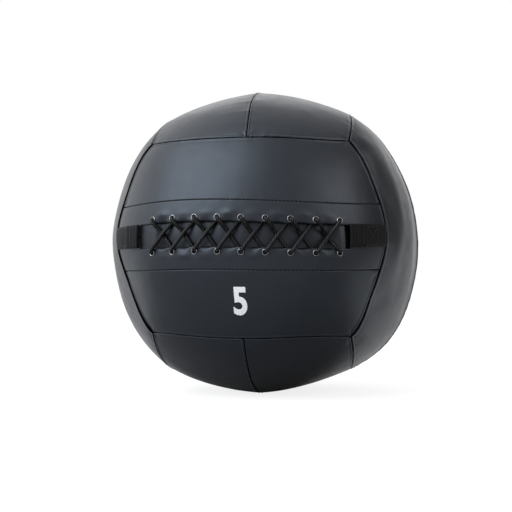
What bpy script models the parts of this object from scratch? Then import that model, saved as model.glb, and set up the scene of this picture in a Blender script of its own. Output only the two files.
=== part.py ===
"""Laced wall ball: a cover of twelve sewn panels, a laced opening, and the filling inside.

Metres, +Z up. The front face, with the lacing, looks along -Y. The origin is on the floor under the ball.
"""
import math

import bmesh
import bpy
import numpy as np
from mathutils import Matrix, Vector

# Ball form
BALL_DIAMETER = 0.350
SQUARENESS_SHARE = 0.062
PANEL_DIP = 0.0020
SETTLE_DEPTH = 0.0018
SETTLE_SOFTNESS = 0.0006
FLAT_DEPTH = 0.0005

# Cover panels and their seams
LEATHER_THICKNESS = 0.0015
CLEARANCE = 0.0003
EDGE_ROLL_WIDTH = 0.0030
EDGE_ROLL_DEPTH = 0.0010
SEAM_FOLD_DEPTH = 0.0032
PANEL_ACROSS_COUNT = 4
PANEL_ALONG_COUNT = 9
BOTTOM_ACROSS_COUNT = 5

# Laced opening
PLACKET_SEAM_HEIGHT = 0.035
OPENING_LENGTH = 0.224
OPENING_CORNER = 0.002
SCALLOP_DEPTH = 0.0008
PUCKER_HEIGHT = 0.0007
PLACKET_ACROSS_COUNT = 3
EYELET_PAIR_COUNT = 9
EYELET_END_MARGIN = 0.0148
EYELET_SHIFT = 0.0028
EYELET_ROW_HEIGHT = 0.0173
EYELET_FLANGE_RADIUS = 0.0040
EYELET_BACK_RADIUS = 0.0034
EYELET_BORE_RADIUS = 0.0025
EYELET_WALL = 0.0003
EYELET_FLANGE_THICKNESS = 0.0005
EYELET_SEAT_GAP = 0.00025
EYELET_STEPS = 9

# Lace
LACE_DIAMETER = 0.0034
LACE_CROSSING_GAP = 0.0005
LACE_BORE_SHIFT = 0.0002
LACE_TAIL_LENGTH = 0.014
LACE_CROSSING_RUN = 0.0035
LACE_EDGE_RUN = 0.0046
LACE_LEG_STEPS = 7

# Tongue under the lace
TONGUE_THICKNESS = 0.0012
TONGUE_SEAM_MARGIN = 0.006
TONGUE_LACE_ROOM = 0.0057
TONGUE_END_OVERLAP = 0.008
TONGUE_COLUMN_COUNT = 15

# Webbing tabs
WEBBING_WIDTH = 0.025
WEBBING_THICKNESS = 0.0016
WEBBING_FOLD_LENGTH = 0.025
WEBBING_FOLD_GAP = 0.0005
WEBBING_SEAM_MARGIN = 0.0006
WEBBING_ROW_COUNT = 3

# Filling
FOAM_THICKNESS = 0.012
FOAM_FACET_ALLOWANCE = 0.0010
CHANNEL_RISE = 0.005
CHANNEL_END_LENGTH = 0.035
CORE_RADIUS = 0.054
CORE_FLANGE_WIDTH = 0.008
CORE_FLANGE_THICKNESS = 0.002
CORE_STEPS = 18
CORE_ARC_STEPS = 5
CORE_FACET_ALLOWANCE = 0.0010
SHELL_SEGMENTS = 24
SHELL_RINGS = 7

# Worked out from the sizes above
RADIUS = BALL_DIAMETER / 2
ROUND_FOURTH_SHARE = 3 / 5
SEAM_PLANE_SHARE = 1 / math.sqrt(3)
SEAM_GAP_SHARE = CLEARANCE / 2 / RADIUS
FRONT_RADIUS = RADIUS * (1 - SQUARENESS_SHARE * (1 - ROUND_FOURTH_SHARE))
PRESSED_FLOOR = SETTLE_DEPTH - FRONT_RADIUS
SETTLED_LOW = PRESSED_FLOOR + SETTLE_SOFTNESS * math.log1p(math.exp(-SETTLE_DEPTH / SETTLE_SOFTNESS))
CENTRE_HEIGHT = -SETTLED_LOW - FLAT_DEPTH
OPENING_HALF_LENGTH = OPENING_LENGTH / 2
OPENING_HALF_GAP = WEBBING_WIDTH / 2 + CLEARANCE
EYELET_PITCH = (OPENING_LENGTH - 2 * EYELET_END_MARGIN) / (EYELET_PAIR_COUNT - 1)
LACE_RADIUS = LACE_DIAMETER / 2
LACE_LIFT = EYELET_SEAT_GAP + EYELET_FLANGE_THICKNESS + CLEARANCE + LACE_RADIUS
LACE_OVER_DEPTH = -LACE_LIFT
LACE_UNDER_DEPTH = LEATHER_THICKNESS + LACE_LIFT
LACE_TURN_RADIUS = (LACE_UNDER_DEPTH - LACE_OVER_DEPTH) / 2
LACE_CROSSING_DEPTH = LACE_UNDER_DEPTH - LACE_DIAMETER - LACE_CROSSING_GAP
LACE_ROW_HEIGHT = EYELET_ROW_HEIGHT + LACE_BORE_SHIFT
TONGUE_DEPTH = LACE_UNDER_DEPTH + LACE_RADIUS + CLEARANCE
TONGUE_EDGE_DEPTH = LEATHER_THICKNESS + CLEARANCE
TONGUE_HALF_HEIGHT = PLACKET_SEAM_HEIGHT - TONGUE_SEAM_MARGIN
TONGUE_CHANNEL_HEIGHT = EYELET_ROW_HEIGHT + TONGUE_LACE_ROOM
TONGUE_RISE = TONGUE_HALF_HEIGHT - TONGUE_CHANNEL_HEIGHT
FOAM_DEPTH = SEAM_FOLD_DEPTH + FOAM_FACET_ALLOWANCE + CLEARANCE
CHANNEL_DEPTH = TONGUE_DEPTH + TONGUE_THICKNESS + 2 * CLEARANCE
STUFFING_DEPTH = FOAM_DEPTH + FOAM_THICKNESS + CLEARANCE
STUFFING_PARTING = CORE_FLANGE_THICKNESS / 2 + CLEARANCE
CUT_OVERRUN = LEATHER_THICKNESS
MERGE_DISTANCE = CLEARANCE / 100

AXIS_X = np.array((1.0, 0.0, 0.0))
AXIS_Y = np.array((0.0, 1.0, 0.0))
AXIS_Z = np.array((0.0, 0.0, 1.0))
# Each face: the way it looks, its long axis, and the axis across it
FACES = {
    "front": (-AXIS_Y, AXIS_X, AXIS_Z),
    "back": (AXIS_Y, AXIS_X, AXIS_Z),
    "right": (AXIS_X, AXIS_Z, AXIS_Y),
    "left": (-AXIS_X, AXIS_Z, AXIS_Y),
    "top": (AXIS_Z, AXIS_Y, AXIS_X),
    "bottom": (-AXIS_Z, AXIS_Y, AXIS_X),
}
PLACKET_SEAM_SHARE = PLACKET_SEAM_HEIGHT / FRONT_RADIUS
# Each panel: its face, and the part of that face from one long seam to the other
PANELS = {
    "panel_front_upper": ("front", PLACKET_SEAM_SHARE, SEAM_PLANE_SHARE),
    "panel_front_lower": ("front", -SEAM_PLANE_SHARE, -PLACKET_SEAM_SHARE),
    "panel_back_upper": ("back", 0, SEAM_PLANE_SHARE),
    "panel_back_lower": ("back", -SEAM_PLANE_SHARE, 0),
    "panel_right_front": ("right", -SEAM_PLANE_SHARE, 0),
    "panel_right_back": ("right", 0, SEAM_PLANE_SHARE),
    "panel_left_front": ("left", -SEAM_PLANE_SHARE, 0),
    "panel_left_back": ("left", 0, SEAM_PLANE_SHARE),
    "panel_top_right": ("top", 0, SEAM_PLANE_SHARE),
    "panel_top_left": ("top", -SEAM_PLANE_SHARE, 0),
    "panel_bottom_right": ("bottom", 0, SEAM_PLANE_SHARE),
    "panel_bottom_left": ("bottom", -SEAM_PLANE_SHARE, 0),
}


def ball_radius(direction):
    """Radius of the seam net: a sphere whose faces are a little flat and whose corners stand out."""
    fourth = float((direction ** 4).sum())
    return RADIUS * (1 - SQUARENESS_SHARE * (fourth - ROUND_FOURTH_SHARE))


def on_ball(direction, depth=0.0):
    """Point at a depth under the ball's form, which its own weight presses onto the floor."""
    point = direction * ball_radius(direction)
    over_floor = (point[2] - PRESSED_FLOOR) / SETTLE_SOFTNESS
    point[2] = PRESSED_FLOOR + SETTLE_SOFTNESS * float(np.logaddexp(0, over_floor))
    return point * (1 - depth / np.linalg.norm(point))


def face_direction(face, turn, lift):
    """Unit direction in a face: turned about its cross axis, then lifted along it."""
    outward, along, across = FACES[face]
    return (outward * math.cos(turn) + along * math.sin(turn)) * math.sqrt(1 - lift ** 2) + across * lift


def face_reach(lift):
    """Turn at which a face ends against the seam of the next face."""
    return math.acos((SEAM_PLANE_SHARE + SEAM_GAP_SHARE) / math.sqrt(1 - lift ** 2))


def front_point(arc, height, depth):
    """Point on the front face from lengths: along the middle, up from it, and under the form."""
    return on_ball(face_direction("front", arc / FRONT_RADIUS, height / FRONT_RADIUS), depth)


def smooth_step(value):
    """Rise from 0 to 1 with level ends."""
    held = min(max(value, 0.0), 1.0)
    return held * held * (3 - 2 * held)


def seam_stations(length, count):
    """Stations from one sewn edge to the other as (share, depth): folded in, rolled, then the plain panel."""
    roll_share = EDGE_ROLL_WIDTH / length
    plain = [roll_share + (1 - 2 * roll_share) * step / count for step in range(count + 1)]
    near = [(0.0, SEAM_FOLD_DEPTH), (0.0, EDGE_ROLL_DEPTH)]
    far = [(1 - share, depth) for share, depth in reversed(near)]
    return near + [(share, 0.0) for share in plain] + far


def new_material(name, colour, roughness, metallic=0.0):
    material = bpy.data.materials.new(name)
    material.use_nodes = True
    shader = material.node_tree.nodes["Principled BSDF"]
    shader.inputs["Base Color"].default_value = (*colour, 1)
    shader.inputs["Roughness"].default_value = roughness
    shader.inputs["Metallic"].default_value = metallic
    material.diffuse_color = (*colour, 1)
    return material


def add_object(name, data, collection, material=None):
    """New object at the ball's centre, which every piece is placed from."""
    made = bpy.data.objects.new(name, data)
    made.location = (0, 0, CENTRE_HEIGHT)
    if material is not None and not data.materials:
        data.materials.append(material)
    collection.objects.link(made)
    return made


def sheet_mesh(name, columns, rows, place):
    """Grid of columns and rows, laid on the form by the given function and facing outwards."""
    sheet = bmesh.new()
    bmesh.ops.create_grid(sheet, x_segments=len(columns) - 1, y_segments=len(rows) - 1, size=1)
    for vert in sheet.verts:
        column = round((vert.co.x + 1) / 2 * (len(columns) - 1))
        row = round((vert.co.y + 1) / 2 * (len(rows) - 1))
        vert.co = Vector(place(columns[column], rows[row]))
    bmesh.ops.remove_doubles(sheet, verts=sheet.verts, dist=MERGE_DISTANCE)
    sheet.normal_update()
    if sum(face.normal.dot(face.calc_center_median()) for face in sheet.faces) < 0:
        bmesh.ops.reverse_faces(sheet, faces=sheet.faces)
    mesh = bpy.data.meshes.new(name)
    sheet.to_mesh(mesh)
    sheet.free()
    mesh.shade_smooth()
    return mesh


def add_thickness(made, thickness, offset=-1):
    solid = made.modifiers.new("Thickness", "SOLIDIFY")
    solid.thickness = thickness
    solid.offset = offset
    solid.use_even_offset = True
    solid.use_quality_normals = True


def cut_with(made, cutter):
    cut = made.modifiers.new("Cut " + cutter.name, "BOOLEAN")
    cut.operation = "DIFFERENCE"
    cut.object = cutter


def add_cutter(name, data, cutters):
    cutter = add_object(name, data, cutters)
    cutter.hide_render = True
    cutter.display_type = "WIRE"
    return cutter


def make_floor_cutter(cutters):
    """Block under the floor, which cuts the ball flat where it rests."""
    block = bmesh.new()
    bmesh.ops.create_cube(block, size=BALL_DIAMETER)
    bmesh.ops.translate(block, vec=(0, 0, -CENTRE_HEIGHT - BALL_DIAMETER / 2), verts=block.verts)
    mesh = bpy.data.meshes.new("floor_cutter")
    block.to_mesh(mesh)
    block.free()
    return add_cutter("floor_cutter", mesh, cutters)


def make_panel(name, parts, leather, floor_cutter):
    """One sewn panel: its middle a little flat, its edges rolled down and folded into the seams."""
    face, low, high = PANELS[name]
    across_count = BOTTOM_ACROSS_COUNT if face == "bottom" else PANEL_ACROSS_COUNT
    low_edge = low + SEAM_GAP_SHARE
    high_edge = high - SEAM_GAP_SHARE
    dip = PANEL_DIP * ((high - low) / SEAM_PLANE_SHARE) ** 2
    length = 2 * face_reach((low + high) / 2) * RADIUS

    def place(column, row):
        along_share, along_depth = column
        across_share, across_depth = row
        lift = low_edge + (high_edge - low_edge) * across_share
        along = 2 * along_share - 1
        across = 2 * across_share - 1
        crown = dip * (1 - across ** 2) * (1 - along ** 4)
        direction = face_direction(face, along * face_reach(lift), lift)
        return on_ball(direction, max(along_depth, across_depth) + crown)

    columns = seam_stations(length, PANEL_ALONG_COUNT)
    rows = seam_stations((high - low) * RADIUS, across_count)
    panel = add_object(name, sheet_mesh(name, columns, rows, place), parts, leather)
    add_thickness(panel, LEATHER_THICKNESS)
    if face == "bottom":
        cut_with(panel, floor_cutter)
    return panel


def eyelet_arcs():
    """Places of the eyelets along the opening."""
    middle = (EYELET_PAIR_COUNT - 1) / 2
    return [EYELET_SHIFT + (index - middle) * EYELET_PITCH for index in range(EYELET_PAIR_COUNT)]


def pucker_share(arc):
    """How far the free edge has left its eyelets: 0 at each eyelet and outside them, 1 midway between two."""
    steps = (arc - EYELET_SHIFT) / EYELET_PITCH + (EYELET_PAIR_COUNT - 1) / 2
    if steps <= 0 or steps >= EYELET_PAIR_COUNT - 1:
        return 0.0
    return math.sin(math.pi * steps) ** 2


def placket_edge_height(arc):
    """Height of a placket's free edge: open and scalloped along the lacing, closed beyond it."""
    open_height = OPENING_HALF_GAP + SCALLOP_DEPTH * pucker_share(arc)
    closing = min(max((abs(arc) - OPENING_HALF_LENGTH) / OPENING_CORNER, 0.0), 1.0)
    return open_height + (CLEARANCE / 2 - open_height) * closing


def placket_columns():
    """Columns of a placket as (arc, share of the reach, depth), with arc or share set to None."""
    half_pitches = EYELET_PAIR_COUNT - 1
    steps = range(-half_pitches, half_pitches + 1)
    laced = [(EYELET_SHIFT + step * EYELET_PITCH / 2, None, 0.0) for step in steps]
    opening_end = OPENING_HALF_LENGTH + OPENING_CORNER
    seam = face_reach(PLACKET_SEAM_SHARE / 2)
    rolled = 1 - EDGE_ROLL_WIDTH / (seam * FRONT_RADIUS)
    closed = (opening_end / FRONT_RADIUS / seam + rolled) / 2
    end = [(OPENING_HALF_LENGTH, None, 0.0), (opening_end, None, 0.0), (None, closed, 0.0)]
    end += [(None, rolled, 0.0), (None, 1.0, EDGE_ROLL_DEPTH), (None, 1.0, SEAM_FOLD_DEPTH)]
    start = []
    for arc, share, depth in reversed(end):
        start.append((None if arc is None else -arc, None if share is None else -share, depth))
    return start + laced + end


def make_placket(name, side, parts, leather, hole_cutter):
    """Strip above or below the opening: sewn to the front panel, free along the lacing."""
    strip = PLACKET_SEAM_HEIGHT - OPENING_HALF_GAP
    plain_share = 1 - EDGE_ROLL_WIDTH / strip
    rows = [(plain_share * step / PLACKET_ACROSS_COUNT, 0.0) for step in range(PLACKET_ACROSS_COUNT + 1)]
    rows += [(1.0, EDGE_ROLL_DEPTH), (1.0, SEAM_FOLD_DEPTH)]
    seam_height = PLACKET_SEAM_HEIGHT - CLEARANCE / 2

    def place(column, row):
        arc, reach_share, along_depth = column
        across_share, across_depth = row
        if arc is None:
            edge = CLEARANCE / 2
        else:
            edge = placket_edge_height(arc)
        height = edge + (seam_height - edge) * across_share
        lift = height / FRONT_RADIUS
        turn = arc / FRONT_RADIUS if reach_share is None else reach_share * face_reach(lift)
        pucker = 0.0 if arc is None else PUCKER_HEIGHT * pucker_share(arc) * max(0.0, 1 - 2 * across_share)
        direction = face_direction("front", turn, side * lift)
        return on_ball(direction, max(along_depth, across_depth) - pucker)

    placket = add_object(name, sheet_mesh(name, placket_columns(), rows, place), parts, leather)
    add_thickness(placket, LEATHER_THICKNESS)
    cut_with(placket, hole_cutter)
    return placket


def eyelet_matrix(arc, side):
    """Frame of an eyelet: its centre on the placket's outer face, and +Z out of the ball."""
    height = side * EYELET_ROW_HEIGHT
    step = EYELET_FLANGE_RADIUS
    centre = Vector(front_point(arc, height, 0))
    run = Vector(front_point(arc + step, height, 0)) - Vector(front_point(arc - step, height, 0))
    rise = Vector(front_point(arc, height + step, 0)) - Vector(front_point(arc, height - step, 0))
    outward = run.cross(rise).normalized()
    run.normalize()
    turned = Matrix((run, outward.cross(run), outward)).transposed().to_4x4()
    return Matrix.Translation(centre) @ turned


def make_hole_cutter(name, side, cutters):
    """One cutter for a placket's nine eyelet holes."""
    holes = bmesh.new()
    radius = EYELET_BORE_RADIUS + EYELET_WALL + EYELET_SEAT_GAP
    depth = 2 * (LEATHER_THICKNESS + CUT_OVERRUN)
    for arc in eyelet_arcs():
        bmesh.ops.create_cone(
            holes, cap_ends=True, segments=EYELET_STEPS, radius1=radius, radius2=radius, depth=depth,
            matrix=eyelet_matrix(arc, side) @ Matrix.Rotation(math.pi / 2, 4, "Z"),
        )
    mesh = bpy.data.meshes.new(name)
    holes.to_mesh(mesh)
    holes.free()
    return add_cutter(name, mesh, cutters)


def eyelet_profile():
    """Section of an eyelet, set in the placket and rolled over at the back, as a loop for the Screw."""
    top = EYELET_SEAT_GAP + EYELET_FLANGE_THICKNESS
    back_seat = -LEATHER_THICKNESS - EYELET_SEAT_GAP
    back = back_seat - EYELET_FLANGE_THICKNESS
    barrel = EYELET_BORE_RADIUS + EYELET_WALL
    rim = EYELET_FLANGE_RADIUS - EYELET_FLANGE_THICKNESS / 2
    outline = [
        (rim, top), (EYELET_FLANGE_RADIUS, EYELET_SEAT_GAP), (barrel, EYELET_SEAT_GAP), (barrel, back_seat),
        (EYELET_BACK_RADIUS, back_seat), (EYELET_BACK_RADIUS, back), (EYELET_BORE_RADIUS, back),
        (EYELET_BORE_RADIUS, top),
    ]
    mesh = bpy.data.meshes.new("eyelet_profile")
    edges = [(index, (index + 1) % len(outline)) for index in range(len(outline))]
    mesh.from_pydata([(radius, 0, height) for radius, height in outline], edges, [])
    return mesh


def add_screw(made, steps):
    turned = made.modifiers.new("Turned", "SCREW")
    turned.axis = "Z"
    turned.steps = steps
    turned.render_steps = steps
    turned.use_merge_vertices = True
    turned.merge_threshold = MERGE_DISTANCE


def make_eyelets(parts, metal):
    profile = eyelet_profile()
    for side, row in ((1, "upper"), (-1, "lower")):
        for number, arc in enumerate(eyelet_arcs(), start=1):
            eyelet = add_object(f"eyelet_{row}_{number}", profile, parts, metal)
            eyelet.matrix_world = Matrix.Translation((0, 0, CENTRE_HEIGHT)) @ eyelet_matrix(arc, side)
            add_screw(eyelet, EYELET_STEPS)


def lace_leg(start, end, on_top, ends_over):
    """Points of one leg between the turns at two eyelets, as (arc, height, depth)."""
    run = math.hypot(end[0] - start[0], end[1] - start[1])
    crossing = LACE_CROSSING_DEPTH if on_top else LACE_UNDER_DEPTH
    level = 0.0 if on_top else LACE_CROSSING_RUN
    end_depth = LACE_OVER_DEPTH if ends_over else LACE_UNDER_DEPTH
    points = []
    for step in range(LACE_LEG_STEPS + 1):
        travel = LACE_TURN_RADIUS + (run - 2 * LACE_TURN_RADIUS) * step / LACE_LEG_STEPS
        if travel < run / 2:
            part = (travel - LACE_EDGE_RUN) / (run / 2 - level - LACE_EDGE_RUN)
            depth = LACE_OVER_DEPTH + (crossing - LACE_OVER_DEPTH) * smooth_step(part)
        else:
            part = (travel - run / 2 - level) / (run / 2 - level - LACE_EDGE_RUN)
            depth = crossing + (end_depth - crossing) * smooth_step(part)
        share = travel / run
        arc = start[0] + (end[0] - start[0]) * share
        height = start[1] + (end[1] - start[1]) * share
        points.append((arc, height, depth))
    return points


def lace_turn(place, arrive, leave, rising):
    """Points of the turn through an eyelet between two plan directions, rising out of it or sinking in.

    The first and last are spread so that the tube's straight steps stay outside the round turn.
    """
    middle = (LACE_UNDER_DEPTH + LACE_OVER_DEPTH) / 2
    points = []
    for step in range(1, 4):
        angle = math.pi * step / 4
        reach = LACE_TURN_RADIUS if step == 2 else LACE_TURN_RADIUS / math.cos(math.pi / 8)
        offset = LACE_TURN_RADIUS - reach * math.sin(angle)
        plan = arrive if step < 2 else leave
        sign = -1 if step < 2 else 1
        swing = reach * math.cos(angle)
        depth = middle + swing if rising else middle - swing
        points.append((place[0] + sign * plan[0] * offset, place[1] + sign * plan[1] * offset, depth))
    return points


def plan_direction(start, end):
    run = math.hypot(end[0] - start[0], end[1] - start[1])
    return ((end[0] - start[0]) / run, (end[1] - start[1]) / run)


def lace_half(first_side):
    """Half of the lace, from the bar at the left pair to its tail at the right, as (arc, height, depth)."""
    arcs = eyelet_arcs()
    places = [(arc, first_side * (-1) ** index * LACE_ROW_HEIGHT) for index, arc in enumerate(arcs)]
    arrive = (0.0, float(first_side))
    points = []
    for index, place in enumerate(places[:-1]):
        following = places[index + 1]
        leave = plan_direction(place, following)
        points += lace_turn(place, arrive, leave, rising=True)
        rises_right = following[1] > place[1]
        last = index == len(places) - 2
        points += lace_leg(place, following, on_top=rises_right, ends_over=last)
        arrive = leave
    last_place = places[-1]
    points += lace_turn(last_place, arrive, (1.0, 0.0), rising=False)
    tail_start = last_place[0] + LACE_TURN_RADIUS
    for share in (0.0, 0.5, 1.0):
        points.append((tail_start + LACE_TAIL_LENGTH * share, last_place[1], LACE_UNDER_DEPTH))
    return points


def lace_points():
    """The whole lace: tail, zigzag to the left pair, the bar under it, and the zigzag back."""
    upper = lace_half(1)
    lower = lace_half(-1)
    bar_arc = eyelet_arcs()[0]
    bar_half = LACE_ROW_HEIGHT - LACE_TURN_RADIUS
    bar = [(bar_arc, bar_half * share, LACE_UNDER_DEPTH) for share in (1.0, 1 / 3, -1 / 3, -1.0)]
    return [front_point(*point) for point in upper[::-1] + bar + lower]


def least_gap_to_itself(points, diameter):
    """Least gap between stretches of the tube that lie further apart along it than one turn."""
    fine = []
    for start, end in zip(points, points[1:]):
        count = max(1, math.ceil(np.linalg.norm(end - start) / (diameter / 4)))
        fine += [start + (end - start) * step / count for step in range(count)]
    fine = np.array(fine)
    travelled = np.concatenate(([0.0], np.cumsum(np.linalg.norm(np.diff(fine, axis=0), axis=1))))
    apart = np.linalg.norm(fine[:, None] - fine[None], axis=2)
    near = np.abs(travelled[:, None] - travelled[None]) < math.pi * LACE_TURN_RADIUS
    apart[near] = np.inf
    return float(apart.min()) - diameter


def make_lace(parts, cord):
    """Braided cord through all eyelets, one unbroken tube."""
    points = lace_points()
    curve = bpy.data.curves.new("lace", "CURVE")
    curve.dimensions = "3D"
    curve.bevel_depth = LACE_RADIUS
    curve.bevel_resolution = 2
    curve.use_fill_caps = True
    spline = curve.splines.new("POLY")
    spline.points.add(len(points) - 1)
    for spline_point, point in zip(spline.points, points):
        spline_point.co = (*point, 1)
    gap = least_gap_to_itself(points, LACE_DIAMETER)
    print(f"lace: {len(points)} points, least gap to itself {gap * 1000:.2f} mm")
    return add_object("lace", curve, parts, cord)


def make_tongue(parts, leather):
    """Strip under the opening: deep under the lace, with its long edges up against the plackets."""
    half_length = OPENING_HALF_LENGTH + TONGUE_END_OVERLAP
    steps = range(TONGUE_COLUMN_COUNT + 1)
    columns = [half_length * (2 * step / TONGUE_COLUMN_COUNT - 1) for step in steps]
    half_rows = (TONGUE_CHANNEL_HEIGHT / 2, TONGUE_CHANNEL_HEIGHT, TONGUE_HALF_HEIGHT)
    rows = [-height for height in reversed(half_rows)] + [0.0] + list(half_rows)

    def place(arc, height):
        raised = smooth_step((abs(height) - TONGUE_CHANNEL_HEIGHT) / TONGUE_RISE)
        depth = TONGUE_DEPTH + (TONGUE_EDGE_DEPTH - TONGUE_DEPTH) * raised
        return front_point(arc, height, depth)

    tongue = add_object("tongue", sheet_mesh("tongue", columns, rows, place), parts, leather)
    add_thickness(tongue, TONGUE_THICKNESS)
    return tongue


def tab_path():
    """Middle line of a webbing tab as (arc, lift): from the seam to the opening, then folded back."""
    low = CLEARANCE + WEBBING_THICKNESS / 2
    turn = (WEBBING_THICKNESS + WEBBING_FOLD_GAP) / 2
    fold = OPENING_HALF_LENGTH + WEBBING_THICKNESS / 2 + turn
    seam = face_reach(0) * FRONT_RADIUS - WEBBING_SEAM_MARGIN
    flat = seam - EDGE_ROLL_WIDTH
    tail = [(seam, low - EDGE_ROLL_DEPTH)]
    tail += [(flat + (fold - flat) * step / 4, low) for step in range(5)]
    turned = []
    for step in range(1, 4):
        angle = math.pi * step / 4
        turned.append((fold - turn * math.sin(angle), low + turn * (1 - math.cos(angle))))
    back = [(fold + WEBBING_FOLD_LENGTH * share, low + 2 * turn) for share in (0.0, 0.5, 1.0)]
    return tail + turned + back


def make_tab(name, side, parts, webbing):
    """Webbing tab over the closed end of the opening, on the left or the right."""
    rows = [WEBBING_WIDTH * (step / WEBBING_ROW_COUNT - 1 / 2) for step in range(WEBBING_ROW_COUNT + 1)]

    def place(column, height):
        arc, lift = column
        return front_point(side * arc, height, -lift)

    tab = add_object(name, sheet_mesh(name, tab_path(), rows, place), parts, webbing)
    add_thickness(tab, WEBBING_THICKNESS, offset=0)
    return tab


def ring_angles():
    """Elevations of the rings of a half shell: the channel's floor and rise first, then even steps."""
    floor = math.asin((TONGUE_HALF_HEIGHT + CHANNEL_RISE / 2) / FRONT_RADIUS)
    rise = math.asin((TONGUE_HALF_HEIGHT + CHANNEL_RISE * 3 / 2) / FRONT_RADIUS)
    even = SHELL_RINGS - 2
    return [0.0, floor, rise] + [rise + (math.pi / 2 - rise) * step / even for step in range(1, even + 1)]


def channel_share(direction):
    """1 where the foam makes room for the tongue, 0 away from it."""
    height = abs(direction[2]) * FRONT_RADIUS
    turn = math.atan2(abs(direction[0]), -direction[1])
    inside = 1 - smooth_step((height - TONGUE_HALF_HEIGHT - CHANNEL_RISE / 2) / CHANNEL_RISE)
    end = (OPENING_HALF_LENGTH + TONGUE_END_OVERLAP + CHANNEL_END_LENGTH / 2) / FRONT_RADIUS
    along = 1 - smooth_step((turn - end) / (CHANNEL_END_LENGTH / FRONT_RADIUS))
    return inside * along


def make_half_shell(name, side, outer_place, inner_place, parting, parts, material):
    """Upper or lower half of a hollow ball: an outer and an inner half sphere, joined round their rims."""
    angles = ring_angles()
    shell = bmesh.new()
    rims = []
    for place, outwards in ((outer_place, True), (inner_place, False)):
        made = bmesh.ops.create_uvsphere(
            shell, u_segments=SHELL_SEGMENTS, v_segments=2 * SHELL_RINGS, radius=1,
            matrix=Matrix.Rotation(math.pi / 2, 4, "Z"),
        )
        half = [vert for vert in made["verts"] if vert.co.z * side > -1 / SHELL_SEGMENTS ** 2]
        kept = set(half)
        bmesh.ops.delete(shell, geom=[vert for vert in made["verts"] if vert not in kept], context="VERTS")
        for vert in half:
            ring = round(math.asin(min(1.0, abs(vert.co.z))) / (math.pi / 2) * SHELL_RINGS)
            turn = math.atan2(vert.co.x, -vert.co.y)
            level = math.cos(angles[ring])
            direction = (level * math.sin(turn), -level * math.cos(turn), side * math.sin(angles[ring]))
            vert.co = Vector(place(np.array(direction)))
            if ring == 0:
                vert.co.z = side * parting
        faces = {face for vert in half for face in vert.link_faces}
        if not outwards:
            bmesh.ops.reverse_faces(shell, faces=list(faces))
        rims += [edge for edge in shell.edges if edge.is_boundary and edge.verts[0] in kept]
    bmesh.ops.bridge_loops(shell, edges=rims)
    bmesh.ops.recalc_face_normals(shell, faces=shell.faces)
    mesh = bpy.data.meshes.new(name)
    shell.to_mesh(mesh)
    shell.free()
    mesh.shade_smooth()
    mesh.set_sharp_from_angle(angle=math.radians(50))
    return add_object(name, mesh, parts, material)


def foam_outer(direction):
    return on_ball(direction, FOAM_DEPTH + (CHANNEL_DEPTH - FOAM_DEPTH) * channel_share(direction))


def foam_inner(direction):
    return on_ball(direction, FOAM_DEPTH + FOAM_THICKNESS)


def stuffing_outer(direction):
    return on_ball(direction, STUFFING_DEPTH)


def stuffing_inner(direction):
    return direction * (CORE_RADIUS + CORE_FACET_ALLOWANCE + CLEARANCE)


def make_core_bag(parts, canvas):
    """Weight in the middle: a canvas bag of iron sand, sewn from two rounds with a flat rim."""
    rim = CORE_RADIUS + CORE_FLANGE_WIDTH
    half = CORE_FLANGE_THICKNESS / 2
    start = math.asin(half / CORE_RADIUS)
    angles = [start + (math.pi / 2 - start) * step / CORE_ARC_STEPS for step in range(CORE_ARC_STEPS + 1)]
    upper = [(CORE_RADIUS * math.cos(angle), CORE_RADIUS * math.sin(angle)) for angle in angles]
    upper[-1] = (0.0, CORE_RADIUS)
    outline = upper[::-1] + [(rim, half), (rim, -half)] + [(radius, -height) for radius, height in upper]
    mesh = bpy.data.meshes.new("core_bag")
    edges = [(index, index + 1) for index in range(len(outline) - 1)]
    mesh.from_pydata([(radius, 0, height) for radius, height in outline], edges, [])
    bag = add_object("core_bag", mesh, parts, canvas)
    add_screw(bag, CORE_STEPS)
    return bag


def main():
    for existing in list(bpy.data.objects):
        bpy.data.objects.remove(existing, do_unlink=True)
    parts = bpy.data.collections.new("wall_ball")
    cutters = bpy.data.collections.new("cutters")
    for collection in (parts, cutters):
        bpy.context.scene.collection.children.link(collection)

    leather = new_material("cover_leather", (0.035, 0.040, 0.048), 0.42)
    placket_leather = new_material("placket_leather", (0.038, 0.042, 0.050), 0.45)
    tongue_leather = new_material("tongue_leather", (0.050, 0.052, 0.058), 0.55)
    webbing = new_material("webbing", (0.012, 0.012, 0.014), 0.85)
    cord = new_material("lace_cord", (0.008, 0.008, 0.009), 0.80)
    metal = new_material("eyelet_metal", (0.78, 0.78, 0.80), 0.25, metallic=1.0)
    foam = new_material("foam", (0.55, 0.55, 0.52), 0.95)
    stuffing = new_material("stuffing", (0.62, 0.60, 0.56), 1.0)
    canvas = new_material("canvas", (0.45, 0.40, 0.32), 0.9)

    floor_cutter = make_floor_cutter(cutters)
    for name in PANELS:
        make_panel(name, parts, leather, floor_cutter)
    for side, row in ((1, "upper"), (-1, "lower")):
        hole_cutter = make_hole_cutter(f"eyelet_holes_{row}", side, cutters)
        make_placket(f"placket_{row}", side, parts, placket_leather, hole_cutter)
    make_eyelets(parts, metal)
    make_lace(parts, cord)
    make_tongue(parts, tongue_leather)
    make_tab("webbing_tab_right", 1, parts, webbing)
    make_tab("webbing_tab_left", -1, parts, webbing)
    for side, half in ((1, "upper"), (-1, "lower")):
        make_half_shell(f"foam_wrap_{half}", side, foam_outer, foam_inner, CLEARANCE / 2, parts, foam)
        make_half_shell(
            f"stuffing_{half}", side, stuffing_outer, stuffing_inner, STUFFING_PARTING, parts, stuffing,
        )
    make_core_bag(parts, canvas)


main()
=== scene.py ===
import math

import bmesh
import bpy
import numpy as np
from mathutils import Matrix, Vector


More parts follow.
